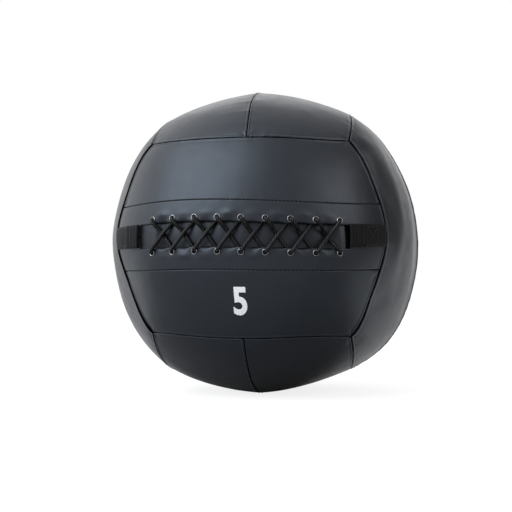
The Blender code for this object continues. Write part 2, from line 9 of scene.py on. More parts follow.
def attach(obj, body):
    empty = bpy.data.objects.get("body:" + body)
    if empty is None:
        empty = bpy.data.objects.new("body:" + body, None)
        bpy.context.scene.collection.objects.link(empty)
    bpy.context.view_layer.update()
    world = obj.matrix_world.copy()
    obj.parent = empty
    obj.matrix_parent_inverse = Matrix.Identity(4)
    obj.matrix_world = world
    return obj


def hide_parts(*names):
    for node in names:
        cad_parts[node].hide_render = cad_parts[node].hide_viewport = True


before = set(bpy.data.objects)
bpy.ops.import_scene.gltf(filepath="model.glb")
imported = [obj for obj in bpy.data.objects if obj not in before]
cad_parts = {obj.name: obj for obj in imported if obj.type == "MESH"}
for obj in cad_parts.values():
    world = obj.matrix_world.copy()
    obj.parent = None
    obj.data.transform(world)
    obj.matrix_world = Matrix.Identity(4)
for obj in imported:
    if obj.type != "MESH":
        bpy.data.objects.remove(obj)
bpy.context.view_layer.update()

# Lengths are in metres. The front face, with the lacing, looks along -Y. Depths are positive inwards.
MM = 0.001
SIDES = ((1, "upper"), (-1, "lower"))

# The ball's form, with the same sizes as the solids
RADIUS = 0.175
SQUARENESS_SHARE = 0.062
ROUND_FOURTH_SHARE = 3 / 5
PANEL_DIP = 2.0 * MM
SETTLE_DEPTH = 1.8 * MM
SETTLE_SOFTNESS = 0.6 * MM
FLAT_DEPTH = 0.5 * MM
CONTACT_HEIGHT = 0.06 * MM
CONTACT_SOFTNESS = 0.12 * MM
SEAM_PLANE_SHARE = 1 / math.sqrt(3)
SEAM_HALF_GAP = 0.15 * MM
SEAM_GAP_SHARE = SEAM_HALF_GAP / RADIUS
FRONT_RADIUS = RADIUS * (1 - SQUARENESS_SHARE * (1 - ROUND_FOURTH_SHARE))
PRESSED_FLOOR = SETTLE_DEPTH - FRONT_RADIUS
SETTLED_LOW = PRESSED_FLOOR + SETTLE_SOFTNESS * math.log1p(math.exp(-SETTLE_DEPTH / SETTLE_SOFTNESS))
CENTRE_HEIGHT = -SETTLED_LOW - FLAT_DEPTH
CENTRE = np.array((0.0, 0.0, CENTRE_HEIGHT))
PLACKET_SEAM_HEIGHT = 35 * MM
PLACKET_SEAM_SHARE = PLACKET_SEAM_HEIGHT / FRONT_RADIUS

# Each face as its outward axis, the axis along its panels and the axis across them
AXIS_X, AXIS_Y, AXIS_Z = np.eye(3)
FACES = {
    "front": (-AXIS_Y, AXIS_X, AXIS_Z),
    "back": (AXIS_Y, AXIS_X, AXIS_Z),
    "right": (AXIS_X, AXIS_Z, AXIS_Y),
    "left": (-AXIS_X, AXIS_Z, AXIS_Y),
    "top": (AXIS_Z, AXIS_Y, AXIS_X),
    "bottom": (-AXIS_Z, AXIS_Y, AXIS_X),
}
# Each panel as its face and its two long edges, as shares of the radius across the face
PANELS = {
    "panel_front_upper": ("front", PLACKET_SEAM_SHARE, SEAM_PLANE_SHARE),
    "panel_front_lower": ("front", -SEAM_PLANE_SHARE, -PLACKET_SEAM_SHARE),
    "panel_back_upper": ("back", 0.0, SEAM_PLANE_SHARE),
    "panel_back_lower": ("back", -SEAM_PLANE_SHARE, 0.0),
    "panel_right_front": ("right", -SEAM_PLANE_SHARE, 0.0),
    "panel_right_back": ("right", 0.0, SEAM_PLANE_SHARE),
    "panel_left_front": ("left", -SEAM_PLANE_SHARE, 0.0),
    "panel_left_back": ("left", 0.0, SEAM_PLANE_SHARE),
    "panel_top_right": ("top", 0.0, SEAM_PLANE_SHARE),
    "panel_top_left": ("top", -SEAM_PLANE_SHARE, 0.0),
    "panel_bottom_right": ("bottom", 0.0, SEAM_PLANE_SHARE),
    "panel_bottom_left": ("bottom", -SEAM_PLANE_SHARE, 0.0),
}

# Leather and seams. The sizes in mm that follow a seam's strength are its size at strength 0 and what 1 adds.
LEATHER_THICKNESS = 1.3 * MM
FOLD_DEPTH = 4.1 * MM
SEAM_STRENGTHS = {
    "front right": 0.75, "front left": 1.3, "back right": 0.85, "back left": 0.85, "front top": 0.2,
    "back top": 0.2, "bottom front": 0.1, "back bottom": 0.3, "bottom right": 0.15, "placket": 0.05,
    "top": 0.08, "bottom": 0.2,
}
OTHER_SEAM_STRENGTH = 0.3
ROLL_WIDTH_SIZES = (0.9, 1.6)
ROLL_DEPTH_SIZES = (0.8, 1.8)
RIDGE_PLACE_SIZES = (1.3, 1.9)
RIDGE_WIDTH_SIZES = (0.6, 0.8)
RIDGE_HEIGHT = 0.38 * MM
# Width in mm of the shade painted along a seam at strength 0, and what the strength and its cube add
FRONT_SHADOW_SHARES = (0.35, 1.6, 1.1)
SHADOW_SHARES = (0.3, 1.1, 0.6)
# Puckers along the seams. The long ones lie beside the mid seam of the top, calmer on its right.
PUCKER_DEPTH = 0.30 * MM
PUCKER_SHARES = {"front": 0.6, "top": 1.6, "right": 1.3}
PUCKER_REACH = 7 * MM
PUCKER_PITCH = 5 * MM
PUCKER_SWELL_PITCH = 40 * MM
PUCKER_LEAST_SHARE = 0.35
PLACKET_PUCKER_DEPTH = 0.18 * MM
PLACKET_PUCKER_PITCH = 1.3 * PUCKER_PITCH
LONG_PUCKER_SHARE = 2.4
LONG_PUCKER_DEPTH = 0.70 * MM
CALM_PUCKER_SHARE = 0.35
SLOW_SWELL_DEPTH = 0.22 * MM
FINE_SWELL_DEPTH = 0.04 * MM
FAR_FROM_SEAM = 9.0
OUT_OF_REACH = 1.0
CORNER_DEPTH = 0.7 * MM
CORNER_REACH = 11 * MM
GRID_STEP = 2.2 * MM
EDGE_STATIONS = np.array((0.0, 0.12, 0.35, 0.7, 1.1, 1.6, 2.2, 3.0, 4.0, 5.2, 6.6)) * MM

# Laced opening
OPENING_HALF_LENGTH = 112 * MM
OPENING_HALF_GAP = 12.8 * MM
OPENING_CORNER = 2 * MM
PLACKET_STEP = 1.5 * MM
EDGE_ROWS = np.array((0.0, 0.06, 0.18, 0.36, 0.62, 0.95, 1.3, 1.8)) * MM
EYELET_PAIR_COUNT = 9
EYELET_PITCH = 24.3 * MM
EYELET_SHIFT = 2.8 * MM
EYELET_ROW_HEIGHT = 17.3 * MM
EYELET_FLANGE_RADIUS = 3.2 * MM
EYELET_FLANGE_RISE = 0.72 * MM
EYELET_BORE_RADIUS = 2.3 * MM
EYELET_BARREL_OVERRUN = 0.35 * MM
EYELET_SEAT_GAP = 0.1 * MM
EYELET_CALM_REACH = 3 * MM
EYELET_SIDES = 40
HOLE_RADIUS = 2.9 * MM
HOLE_DEPTH = 8 * MM
HOLE_SIDES = 28
LACED_HALF_PITCHES = 4.4
SCALLOP_DEPTH = 0.8 * MM
HEM_BULGE_HEIGHT = 1.15 * MM
HEM_BULGE_PLACE = 8.0 * MM
HEM_BULGE_WIDTH = 3.6 * MM
HEM_THICKENING_SHARE = 0.35
LOWER_HEM_SHARE = 0.6
HEM_ROLL_WIDTH = 1.2 * MM
HEM_ROLL_DEPTH = 0.7 * MM
LACED_ROLL_WIDTH = 6.4 * MM
LACED_ROLL_DEPTH = 2.6 * MM

# Lace
LACE_RADIUS = 1.98 * MM
LACE_OVER_DEPTH = -2.75 * MM
LACE_UNDER_DEPTH = 4.25 * MM
LACE_TURN_RADIUS = 3.5 * MM
LACE_CROSSING_DEPTH = 0.35 * MM
LACE_ROW_HEIGHT = 17.5 * MM
LACE_CROSSING_RUN = 3.5 * MM
LACE_EDGE_RUN = 4.6 * MM
LACE_LEG_STEPS = 7
LACE_TAIL_LENGTH = 14 * MM
LACE_STEP = 0.35 * MM
LACE_SIDES = 30
BRAID_STRANDS = 6
BRAID_STEP = 2.8 * MM
BRAID_RELIEF = 0.36 * MM
BRAID_CROSSING_SHARE = 0.45

# Tongue: a base under the opening, and a face strip on it behind the lace
TONGUE_DEPTH = 6.25 * MM
TONGUE_EDGE_DEPTH = 1.8 * MM
TONGUE_CHANNEL_HEIGHT = 23 * MM
TONGUE_HALF_HEIGHT = 29 * MM
TONGUE_HALF_LENGTH = 120 * MM
TONGUE_BASE_THICKNESS = 0.55 * MM
TONGUE_BASE_DROP = 0.65 * MM
TONGUE_FACE_HALF_HEIGHT = 13.4 * MM
TONGUE_FACE_THICKNESS = 0.6 * MM
TONGUE_FACE_LEFT = -118 * MM
TONGUE_FACE_RIGHT = 107.2 * MM
TONGUE_END_MARGIN = 9.8 * MM
TONGUE_LEFT_RUN = 8 * MM
TONGUE_RIGHT_RUN = 12 * MM
TONGUE_PUFF = 0.8 * MM
TONGUE_PUFF_REACH = 12 * MM
TONGUE_TILT = 1.1 * MM
TONGUE_EDGE_ROLL = (0.6 * MM, 0.4 * MM)
TONGUE_END_ROLL = (1.2 * MM, 1.0 * MM)
TONGUE_END_STATIONS = np.array((1.2, 0.9, 0.6, 0.35, 0.15, 0.04, 0.0)) * MM
TONGUE_EDGE_STATIONS = np.array((0.6, 0.4, 0.2, 0.05, 0.0)) * MM

# Webbing tabs, as their side of the face, where their fold lies, and how far they sit above its middle
TABS = {"right": (1, 109.6 * MM, 1.5 * MM), "left": (-1, 112 * MM, 0.7 * MM)}
WEBBING_WIDTH = 25 * MM
WEBBING_THICKNESS = 1.6 * MM
WEBBING_FOLD_GAP = 0.5 * MM
WEBBING_LIFT = 0.3 * MM
WEBBING_EDGE_DROP = 0.35 * MM
TAB_SEAM_MARGIN = 0.6 * MM
TAB_SEAM_RUN = 3 * MM
TAB_FOLDED_LENGTH = 18 * MM
TAB_FOLDED_STEPS = 18
TAB_GROOVE_DEPTH = 0.6 * MM
TAB_GROOVE_COUNT = 3

# Stitches, as pitch, length, radius and lift, and where they lie
SEAM_STITCH = np.array((4.0, 3.1, 0.36, 0.0)) * MM
BOX_STITCH = np.array((2.8, 2.2, 0.28, 0.02)) * MM
BAR_STITCH = np.array((2.4, 1.9, 0.28, 0.02)) * MM
SEAM_STITCH_DEPTH = 0.42 * MM
SEAM_STITCH_END = 147 * MM
BOX_START = 22 * MM
BOX_END = 146.5 * MM
BOX_MARGIN = 2.6 * MM
BAR_PLACES = (9 * MM, 15.5 * MM)

# Weight mark: a plain number
MARK_TEXT = "5"
MARK_HEIGHT = 26 * MM
MARK_MIDDLE = (-0.5 * MM, -64.1 * MM)
MARK_WEIGHT_OFFSET = 0.03
MARK_LIFT = 0.10 * MM
MARK_THICKNESS = 0.16 * MM
MARK_CUT_STEP = 2 * MM

# Filling
FOAM_DEPTH = 4.7 * MM
FOAM_THICKNESS = 11.6 * MM
FOAM_UNEVENNESS = 0.15 * MM
CHANNEL_DEPTH = 8.2 * MM
CHANNEL_RISE = 5 * MM
CHANNEL_END_LENGTH = 35 * MM
STUFFING_DEPTH = 17.1 * MM
STUFFING_LUMPS = 0.9 * MM
STUFFING_PARTING = 1.3 * MM
SHELL_COLUMNS = 120
SHELL_ROWS = 36
POLE_ANGLE = 0.002
CORE_RADIUS = 54 * MM
CORE_ROOM = 1.6 * MM
CORE_RIM_RADIUS = 62 * MM
CORE_SEAM_RADIUS = CORE_RIM_RADIUS - 4 * MM
CORE_SEAM_HALF_HEIGHT = 0.75 * MM
CORE_RIM_HALF_HEIGHT = 0.8 * MM
CORE_SETBACK = 0.9 * MM
CORE_GATHER = 0.7 * MM
CORE_GATHER_COUNT = 34
CORE_GATHER_REACH = 0.22
CORE_STITCH_COUNT = 96
CORE_STITCH_RADIUS = 0.3 * MM

# Materials
LEATHER_SHEEN = 0.55
LEATHER_BLOOM = 0.10
LEATHER_TINT = (0.78, 0.87, 1.0, 1.0)
GRAIN_SCALE = 950.0
RIB_PITCH = 1.25 * MM
WARP_PITCH = 0.9 * MM
CANVAS_PITCH = 0.8 * MM

# Camera, fitted to the photograph
IMAGE_SIDE = 512
FOCAL_PIXELS = 1008.7
CENTRE_PIXEL = (264.9, 243.0)
CAMERA_DISTANCE = 1.159
CAMERA_TURN = math.radians(8.9)
CAMERA_LIFT = math.radians(-2.66)
SENSOR_WIDTH = 36.0

# Room: a white floor and world, which are dimmer in what the ball mirrors. Each soft lamp has its direction
# from the ball, distance, width, height, radiance and tint.
FLOOR_SIDE = 14.0
FLOOR_ALBEDO = 0.28
FLOOR_GLOW = 0.83
# Glow of parts of the floor that only reflections see: a painted reflection on the ball
FLOOR_REFLECTION_GLOW = 0.60
ROOM_LOW, ROOM_HIGH = 0.58, 0.9
ROOM_LEFT, ROOM_RIGHT = 1.9, 0.0
PLAIN_TINT = (1.0, 1.0, 1.0)
LAMPS = {
    "key": ((-0.56, -0.62, 0.59), 2.2, 1.8, 2.0, 3.3, (0.82, 0.91, 1.0)),
    "back": ((-0.12, 0.74, 0.66), 2.6, 1.5, 1.1, 1.1, PLAIN_TINT),
    "fill": ((0.80, -0.40, 0.42), 3.0, 1.9, 1.9, 2.3, (1.0, 0.96, 0.92)),
    "side": ((0.30, 0.92, 0.20), 2.6, 1.3, 1.5, 0.9, PLAIN_TINT),
}

# The filled ball isn't quite even. Each row is a direction on it, and how far its cover lies there from the
# plain form, in mm.
SETTLED_MOVES = np.array((
    (-0.58, -0.58, 0.58, -3.7, -0.5, -1.4), (0.58, -0.58, 0.58, 2.3, 0.5, -2.4),
    (-0.58, -0.58, -0.58, -1.5, -0.4, 3.6), (0.58, -0.58, -0.58, 3.4, 0.5, 1.0),
    (0.00, -0.82, 0.58, 3.5, 0.6, -0.3), (0.00, -0.82, -0.58, 1.0, 0.2, -1.7),
    (-0.30, -0.76, 0.58, 0.0, 0.0, -1.0), (-0.30, -0.76, -0.58, 0.0, 0.0, 1.0),
    (0.30, -0.76, 0.58, 0.0, 0.1, -1.9), (0.30, -0.76, -0.58, 0.0, 0.0, 0.3),
    (-0.72, -0.58, 0.38, 1.1, 0.2, 0.0), (0.72, -0.58, 0.38, -3.5, -0.6, 0.0),
    (-0.79, -0.58, 0.20, 0.8, 0.1, -2.4), (0.79, -0.58, 0.20, -2.4, -0.4, -2.2),
    (-0.82, -0.58, 0.00, -1.5, -0.2, 0.0), (0.82, -0.58, 0.00, -1.0, -0.2, 0.0),
    (-0.79, -0.58, -0.20, 3.2, 0.5, 2.8), (0.79, -0.58, -0.20, -3.3, -0.5, 3.6),
    (-0.72, -0.58, -0.38, 4.8, 0.8, 0.0), (0.72, -0.58, -0.38, -4.1, -0.6, 0.0),
    (-0.62, -0.76, 0.21, 0.0, 0.1, -1.6), (-0.62, -0.76, -0.21, 0.0, -0.1, 2.1),
    (-0.32, -0.92, 0.21, 0.0, 0.0, 0.8), (-0.32, -0.92, -0.21, 0.0, -0.1, 2.1),
    (0.00, -0.98, 0.21, 0.0, 0.0, 0.1), (0.00, -0.98, -0.21, 0.0, -0.1, 1.1),
    (0.32, -0.92, 0.21, 0.0, 0.1, -2.3), (0.32, -0.92, -0.21, 0.0, 0.0, 0.8),
    (0.62, -0.76, 0.21, 0.0, 0.2, -3.7), (0.62, -0.76, -0.21, 0.0, -0.1, 2.0),
    (1.00, 0.01, -0.01, 3.3, 0.5, 0.0), (0.97, -0.01, 0.25, 1.6, 0.2, 0.4),
    (0.87, -0.04, 0.49, -0.4, -0.1, -0.2), (0.68, -0.08, 0.73, -0.1, 0.0, -0.1),
    (0.43, -0.12, 0.90, -0.6, 0.0, -1.4), (0.13, -0.17, 0.98, -0.1, 0.0, -0.8),
    (-0.17, -0.22, 0.96, 0.4, 0.1, -1.7), (-0.46, -0.26, 0.85, 0.9, 0.2, -1.5),
    (-0.70, -0.29, 0.65, 0.3, 0.1, -0.3), (-0.87, -0.30, 0.40, -0.2, 0.0, 0.1),
    (-0.95, -0.30, 0.10, -1.9, -0.3, 0.2), (-0.93, -0.29, -0.21, -1.5, -0.2, -0.3),
    (-0.83, -0.26, -0.50, -1.8, -0.2, -1.0), (-0.64, -0.21, -0.74, -1.3, -0.1, -1.5),
    (-0.38, -0.17, -0.91, -0.3, 0.0, -0.6), (-0.19, -0.13, -0.97, 0.0, 0.0, -0.2),
    (0.22, -0.07, -0.97, -0.4, -0.1, 1.9), (0.41, -0.04, -0.91, -1.1, -0.3, 2.6),
    (0.59, -0.02, -0.81, -1.2, -0.3, 1.7), (0.74, 0.00, -0.67, 1.7, 0.3, -1.6),
    (0.87, 0.01, -0.50, 2.9, 0.5, -1.7), (0.96, 0.01, -0.26, 3.1, 0.5, -0.9),
    (0.00, 0.00, -1.00, 0.0, 0.0, 0.0), (0.00, 1.00, 0.00, 0.0, 0.0, 0.0),
    (-0.60, 0.80, 0.00, 0.0, 0.0, 0.0), (0.60, 0.80, 0.00, 0.0, 0.0, 0.0),
    (0.00, 0.71, 0.71, 0.0, 0.0, 0.0), (0.00, 0.71, -0.71, 0.0, 0.0, 0.0),
))
MOVE_REACH = 0.32
MOVE_EASE = 0.05

# Dents (+) and bulges (-) of the cover: heading, reaches along the seam and across it, depth
DENTS = (
    ((0.78, -0.50, 0.38), 0.20, 0.075, 1.5 * MM),
    ((0.895, -0.44, -0.10), 0.22, 0.07, -1.3 * MM),
    ((0.84, -0.52, 0.24), 0.07, 0.06, -0.7 * MM),
    ((0.78, -0.50, -0.38), 0.07, 0.10, 1.3 * MM),
    ((0.83, -0.49, -0.24), 0.10, 0.08, -0.9 * MM),
    ((0.66, -0.46, 0.60), 0.045, 0.09, -0.9 * MM),
    ((0.68, -0.52, 0.52), 0.05, 0.07, 0.9 * MM),
    ((0.90, -0.36, 0.25), 0.30, 0.06, -0.9 * MM),
    ((0.62, -0.50, -0.60), 0.05, 0.06, 0.9 * MM),
    ((-0.34, -0.52, 0.78), 0.10, 0.30, -0.5 * MM),
    ((0.99, 0.14, 0.00), 0.70, 0.09, -2.6 * MM),
    ((0.99, -0.07, 0.00), 0.70, 0.06, 0.9 * MM),
)


def link_object(name, data):
    made = bpy.data.objects.new(name, data)
    bpy.context.scene.collection.objects.link(made)
    return made


def aim(made, heading, distance):
    """Puts a camera or lamp at a distance from the ball, looking at its centre."""
    made.location = Vector(CENTRE) + heading * distance
    made.rotation_euler = (-heading).to_track_quat("-Z", "Y").to_euler()


def make_camera():
    camera = link_object("camera", bpy.data.cameras.new("camera"))
    level = math.cos(CAMERA_LIFT)
    heading = (math.sin(CAMERA_TURN) * level, -math.cos(CAMERA_TURN) * level, math.sin(CAMERA_LIFT))
    aim(camera, Vector(heading), CAMERA_DISTANCE)
    camera.data.sensor_width = SENSOR_WIDTH
    camera.data.lens = FOCAL_PIXELS / IMAGE_SIDE * SENSOR_WIDTH
    camera.data.shift_x = (IMAGE_SIDE / 2 - CENTRE_PIXEL[0]) / IMAGE_SIDE
    camera.data.shift_y = (CENTRE_PIXEL[1] - IMAGE_SIDE / 2) / IMAGE_SIDE
    bpy.context.scene.camera = camera


def settled_weights():
    """Weights of smooth bumps around each direction, which together give the settled moves."""
    headings = SETTLED_MOVES[:, :3] / np.linalg.norm(SETTLED_MOVES[:, :3], axis=1, keepdims=True)
    angles = np.arccos(np.clip(headings @ headings.T, -1, 1))
    spread = np.exp(-(angles / MOVE_REACH) ** 2) + MOVE_EASE * np.eye(len(headings))
    return headings, np.linalg.solve(spread, SETTLED_MOVES[:, 3:] * MM)


SETTLED_HEADINGS, SETTLED_WEIGHTS = settled_weights()


def settled_move(direction):
    angles = np.arccos(np.clip(direction @ SETTLED_HEADINGS.T, -1, 1))
    return np.exp(-(angles / MOVE_REACH) ** 2) @ SETTLED_WEIGHTS


def on_floor(height, floor, softness):
    """Heights kept over a floor, which they near softly."""
    return floor + softness * np.logaddexp(0, (height - floor) / softness)


def on_ball(direction, depth):
    """Points at depths under the ball's form, which its own weight presses onto the floor."""
    fourth = (direction ** 4).sum(-1)
    point = direction * (RADIUS * (1 - SQUARENESS_SHARE * (fourth - ROUND_FOURTH_SHARE)))[..., None]
    point = point + settled_move(direction)
    point[..., 2] = on_floor(point[..., 2], PRESSED_FLOOR, SETTLE_SOFTNESS)
    place = CENTRE + point * (1 - depth / np.linalg.norm(point, axis=-1))[..., None]
    place[..., 2] = on_floor(place[..., 2], CONTACT_HEIGHT, CONTACT_SOFTNESS)
    return place


def face_direction(face, turn, lift):
    outward, along, across = FACES[face]
    level = np.sqrt(1 - lift ** 2)
    return (
        outward * (np.cos(turn) * level)[..., None]
        + along * (np.sin(turn) * level)[..., None]
        + across * lift[..., None]
    )


def face_reach(lift):
    """Turn from a face's middle to its end seam."""
    return np.arccos((SEAM_PLANE_SHARE + SEAM_GAP_SHARE) / np.sqrt(1 - lift ** 2))


def front_direction(arc, height):
    arc, height = np.broadcast_arrays(np.asarray(arc, float), np.asarray(height, float))
    return face_direction("front", arc / FRONT_RADIUS, height / FRONT_RADIUS)


def front_point(arc, height, depth):
    direction = front_direction(arc, height)
    return on_ball(direction, np.broadcast_to(np.asarray(depth, float), direction.shape[:-1]))


def smooth_step(value):
    held = np.clip(value, 0.0, 1.0)
    return held * held * (3 - 2 * held)


def travelled_along(points):
    """Length of a line of points up to each of them."""
    return np.concatenate([[0], np.cumsum(np.linalg.norm(np.diff(points, axis=0), axis=1))])


def at_lengths(lengths, travelled, points):
    return np.stack([np.interp(lengths, travelled, points[:, axis]) for axis in range(3)], -1)


def ripple(place, pitch, seed):
    """Smooth random wave along a line, from -1 to 1."""
    knots = np.random.default_rng(seed).uniform(-1, 1, 257)
    steps = place / pitch + 128
    whole = np.clip(np.floor(steps).astype(int), 0, 255)
    share = smooth_step(steps - whole)
    return knots[whole] * (1 - share) + knots[whole + 1] * share


def make_swells(seed, count, shortest, longest):
    """Random plane waves, which add up to a slow unevenness all through space."""
    picked = np.random.default_rng(seed)
    waves = []
    for _ in range(count):
        heading = picked.normal(size=3)
        heading /= np.linalg.norm(heading)
        length = picked.uniform(shortest, longest)
        waves.append((heading * 2 * math.pi / length, picked.uniform(0, 2 * math.pi)))
    return waves


SLOW_SWELLS = make_swells(3, 14, 55 * MM, 130 * MM)
FINE_SWELLS = make_swells(8, 16, 16 * MM, 34 * MM)


def swell(direction, waves):
    place = direction * RADIUS
    return sum(np.sin(place @ heading + phase) for heading, phase in waves) / math.sqrt(len(waves))


def unevenness(direction):
    return SLOW_SWELL_DEPTH * swell(direction, SLOW_SWELLS) + FINE_SWELL_DEPTH * swell(direction, FINE_SWELLS)


def dent_depth(direction):
    total = np.zeros(direction.shape[:-1])
    for heading, along_reach, across_reach, depth in DENTS:
        heading = np.array(heading) / np.linalg.norm(heading)
        along = AXIS_Z - heading * heading[2]
        along /= np.linalg.norm(along)
        across = np.cross(heading, along)
        offset = direction - heading
        near = ((offset @ along) / along_reach) ** 2 + ((offset @ across) / across_reach) ** 2
        total += depth * np.exp(-near) * ((direction @ heading) > 0)
    return total


def rolled(distance, width, drop):
    """Depth of an edge that rolls over as a quarter round."""
    inside = np.clip(1 - distance / width, 0.0, 1.0)
    return drop * (1 - np.sqrt(1 - inside ** 2))


def seam_strength(face, heading):
    """How hard a face's seam on the side of a heading is drawn in."""
    beside = [name for name, (outward, _, _) in FACES.items() if outward @ heading > 0.5]
    return SEAM_STRENGTHS.get(" ".join(sorted([face] + beside)), OTHER_SEAM_STRENGTH)


def by_strength(sizes, strength):
    return (sizes[0] + sizes[1] * strength) * MM


def seam_roll(distance, strength):
    return rolled(distance, by_strength(ROLL_WIDTH_SIZES, strength), by_strength(ROLL_DEPTH_SIZES, strength))


def seam_shadow(distance, strength, face):
    """Distance from a seam in widths of the shade painted along it, which lies more on the front's side of
    it.
    """
    shares = FRONT_SHADOW_SHARES if face == "front" else SHADOW_SHARES
    width = shares[0] + shares[1] * strength + shares[2] * strength ** 3
    return np.maximum(distance, 0) / (width * MM)


def ridge(distance, strength):
    """Height of the small ridge where the leather comes out of a seam."""
    place, width = by_strength(RIDGE_PLACE_SIZES, strength), by_strength(RIDGE_WIDTH_SIZES, strength)
    sewn = 0.5 * np.exp(-((distance - place - 1.9 * width) / width) ** 2)
    return RIDGE_HEIGHT * (np.exp(-((distance - place) / width) ** 2) - sewn)


def pucker_strength(place, seed):
    """How strong the puckers are at places along a seam. They never quite end."""
    return PUCKER_LEAST_SHARE + (1 - PUCKER_LEAST_SHARE) * np.abs(ripple(place, PUCKER_SWELL_PITCH, seed))


def cover_depth(name, direction):
    """Depth of a panel's outer face under the form, and its distance from the seams in widths of their
    painted shade.
    """
    face, low, high = PANELS[name]
    outward, along, across = FACES[face]
    seed = list(PANELS).index(name) * 10
    lift = np.clip(direction @ across, low + SEAM_GAP_SHARE, high - SEAM_GAP_SHARE)
    level = np.clip(direction @ outward, SEAM_PLANE_SHARE + SEAM_GAP_SHARE, 1)
    sideways = direction @ along
    end = RADIUS * (np.arcsin(level) - math.asin(SEAM_PLANE_SHARE + SEAM_GAP_SHARE))
    from_low = RADIUS * (np.arcsin(lift) - math.asin(low + SEAM_GAP_SHARE))
    from_high = RADIUS * (math.asin(high - SEAM_GAP_SHARE) - np.arcsin(lift))
    across_share = 2 * (lift - low) / (high - low) - 1
    along_share = np.clip(np.arctan2(sideways, level) / face_reach(lift), -1, 1)
    dip = PANEL_DIP * ((high - low) / SEAM_PLANE_SHARE) ** 2
    depth = dip * (1 - across_share ** 2) * (1 - along_share ** 4)

    end_strength = np.where(sideways > 0, seam_strength(face, along), seam_strength(face, -along))
    rolls = [seam_roll(end, end_strength)]
    # mark: distance from the seams in widths of the shade that the leather paints along them
    mark = seam_shadow(end, end_strength, face)
    for distance, share in ((from_low, low), (from_high, high)):
        if abs(share) == PLACKET_SEAM_SHARE:
            strength = SEAM_STRENGTHS["placket"]
        else:
            strength = seam_strength(face, across * np.sign(share))
            depth = depth - ridge(distance, strength)
        rolls.append(seam_roll(distance, strength))
        mark = np.minimum(mark, seam_shadow(distance, strength, face))
    depth = depth - ridge(end, end_strength)
    depth = depth + np.sqrt(sum(roll ** 2 for roll in rolls))

    turn_place = np.arctan2(sideways, level) * RADIUS
    lift_place = np.arcsin(lift) * RADIUS
    first_end = np.where(sideways > 0, end, OUT_OF_REACH)
    second_end = np.where(sideways > 0, OUT_OF_REACH, end)
    edges = (
        (from_low, turn_place, low), (from_high, turn_place, high),
        (first_end, lift_place, 1), (second_end, lift_place, 1),
    )
    for number, (distance, place, share) in enumerate(edges, start=1):
        wave = ripple(place, PUCKER_PITCH, seed + number + 5)
        reach = PUCKER_REACH
        if share == 0 and face == "top":
            reach = reach * LONG_PUCKER_SHARE
            height = LONG_PUCKER_DEPTH * (CALM_PUCKER_SHARE if high > 0 else 1)
        else:
            height = PUCKER_DEPTH * (pucker_strength(place, seed + number) * PUCKER_SHARES.get(face, 1.0))
        depth = depth + height * wave * np.exp(-np.maximum(distance, 0) / reach)

    for distance in (from_low, from_high):
        near = np.exp(-(end ** 2 + distance ** 2) / CORNER_REACH ** 2)
        angle = np.arctan2(end, distance)
        depth = depth + CORNER_DEPTH * near * (0.5 + 0.5 * np.sin(7 * angle + seed))
    return depth + unevenness(direction) + dent_depth(direction), mark


def add_piece(name, mesh, material, node=None, matrix=None):
    """Adds a piece that rides on the ball and takes a slot's finish. It stands for a node if one is named."""
    piece = link_object(name, mesh)
    if not mesh.materials:
        mesh.materials.append(material)
    if matrix is not None:
        piece.matrix_world = matrix
    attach(piece, "root")
    if node is not None:
        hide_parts(node)
    return piece


def mesh_of(work, name, smooth=True, sharp_degrees=None):
    """Mesh of a finished bmesh."""
    mesh = bpy.data.meshes.new(name)
    work.to_mesh(mesh)
    work.free()
    if smooth:
        mesh.shade_smooth()
    if sharp_degrees is not None:
        mesh.set_sharp_from_angle(angle=math.radians(sharp_degrees))
    return mesh


def closed_mesh(name, points, faces, **values):
    """Smooth closed mesh with its faces turned outwards, and the values per point that a material reads."""
    mesh = bpy.data.meshes.new(name)
    mesh.from_pydata(points.tolist(), [], faces)
    for key, value in values.items():
        vectors = value.ndim > 1
        attribute = mesh.attributes.new(key, "FLOAT_VECTOR" if vectors else "FLOAT", "POINT")
        attribute.data.foreach_set("vector" if vectors else "value", value.astype(np.float32).ravel())
    work = bmesh.new()
    work.from_mesh(mesh)
    if work.calc_volume(signed=True) < 0:
        bmesh.ops.reverse_faces(work, faces=work.faces)
    work.to_mesh(mesh)
    work.free()
    mesh.shade_smooth()
    return mesh


def shell_mesh(name, outer, inner, **values):
    """Closed sheet from two grids of points of the same shape: its outer and inner faces."""
    columns, rows = outer.shape[:2]
    count = columns * rows
    index = np.arange(count).reshape(columns, rows)
    front = np.stack([index[:-1, :-1], index[1:, :-1], index[1:, 1:], index[:-1, 1:]], -1).reshape(-1, 4)
    loop = np.concatenate([index[:, 0], index[-1, 1:], index[-2::-1, -1], index[0, -2:0:-1]])
    following = np.roll(loop, -1)
    rim = np.stack([loop, loop + count, following + count, following], -1)
    faces = np.concatenate([front, (front + count)[:, ::-1], rim]).tolist()
    points = np.concatenate([outer.reshape(-1, 3), inner.reshape(-1, 3)])
    for key, value in values.items():
        flat = value.reshape(count, *value.shape[2:])
        values[key] = np.concatenate([flat, flat])
    return closed_mesh(name, points, faces, **values)


def add_band(work, first, second, flipped=False):
    """Quads between two closed rings of vertices."""
    for index in range(len(first)):
        after = (index + 1) % len(first)
        quad = (first[index], second[index], second[after], first[after])
        work.faces.new(quad[::-1] if flipped else quad)


def edge_fold(count, both=True):
    """Marks the last of a row of stations, and with both the first too, as folded under."""
    folded = np.zeros(count, bool)
    folded[-1] = True
    folded[0] = both
    return folded


def stations(length):
    """Places from -1 to 1 over a sewn length, close together at both edges and doubled there for the fold.

    They are given for the outer face and, held back by the leather's thickness, for the inner face.
    """
    near = EDGE_STATIONS
    count = max(2, round((length - 2 * near[-1]) / GRID_STEP))
    middle = np.linspace(near[-1], length - near[-1], count + 1)[1:-1]
    places = 2 * np.concatenate([near, middle, length - near[::-1]]) / length - 1
    outer = np.concatenate([[-1.0], places, [1.0]])
    held = 1 - 2 * LEATHER_THICKNESS / length
    return outer, np.clip(outer, -held, held)


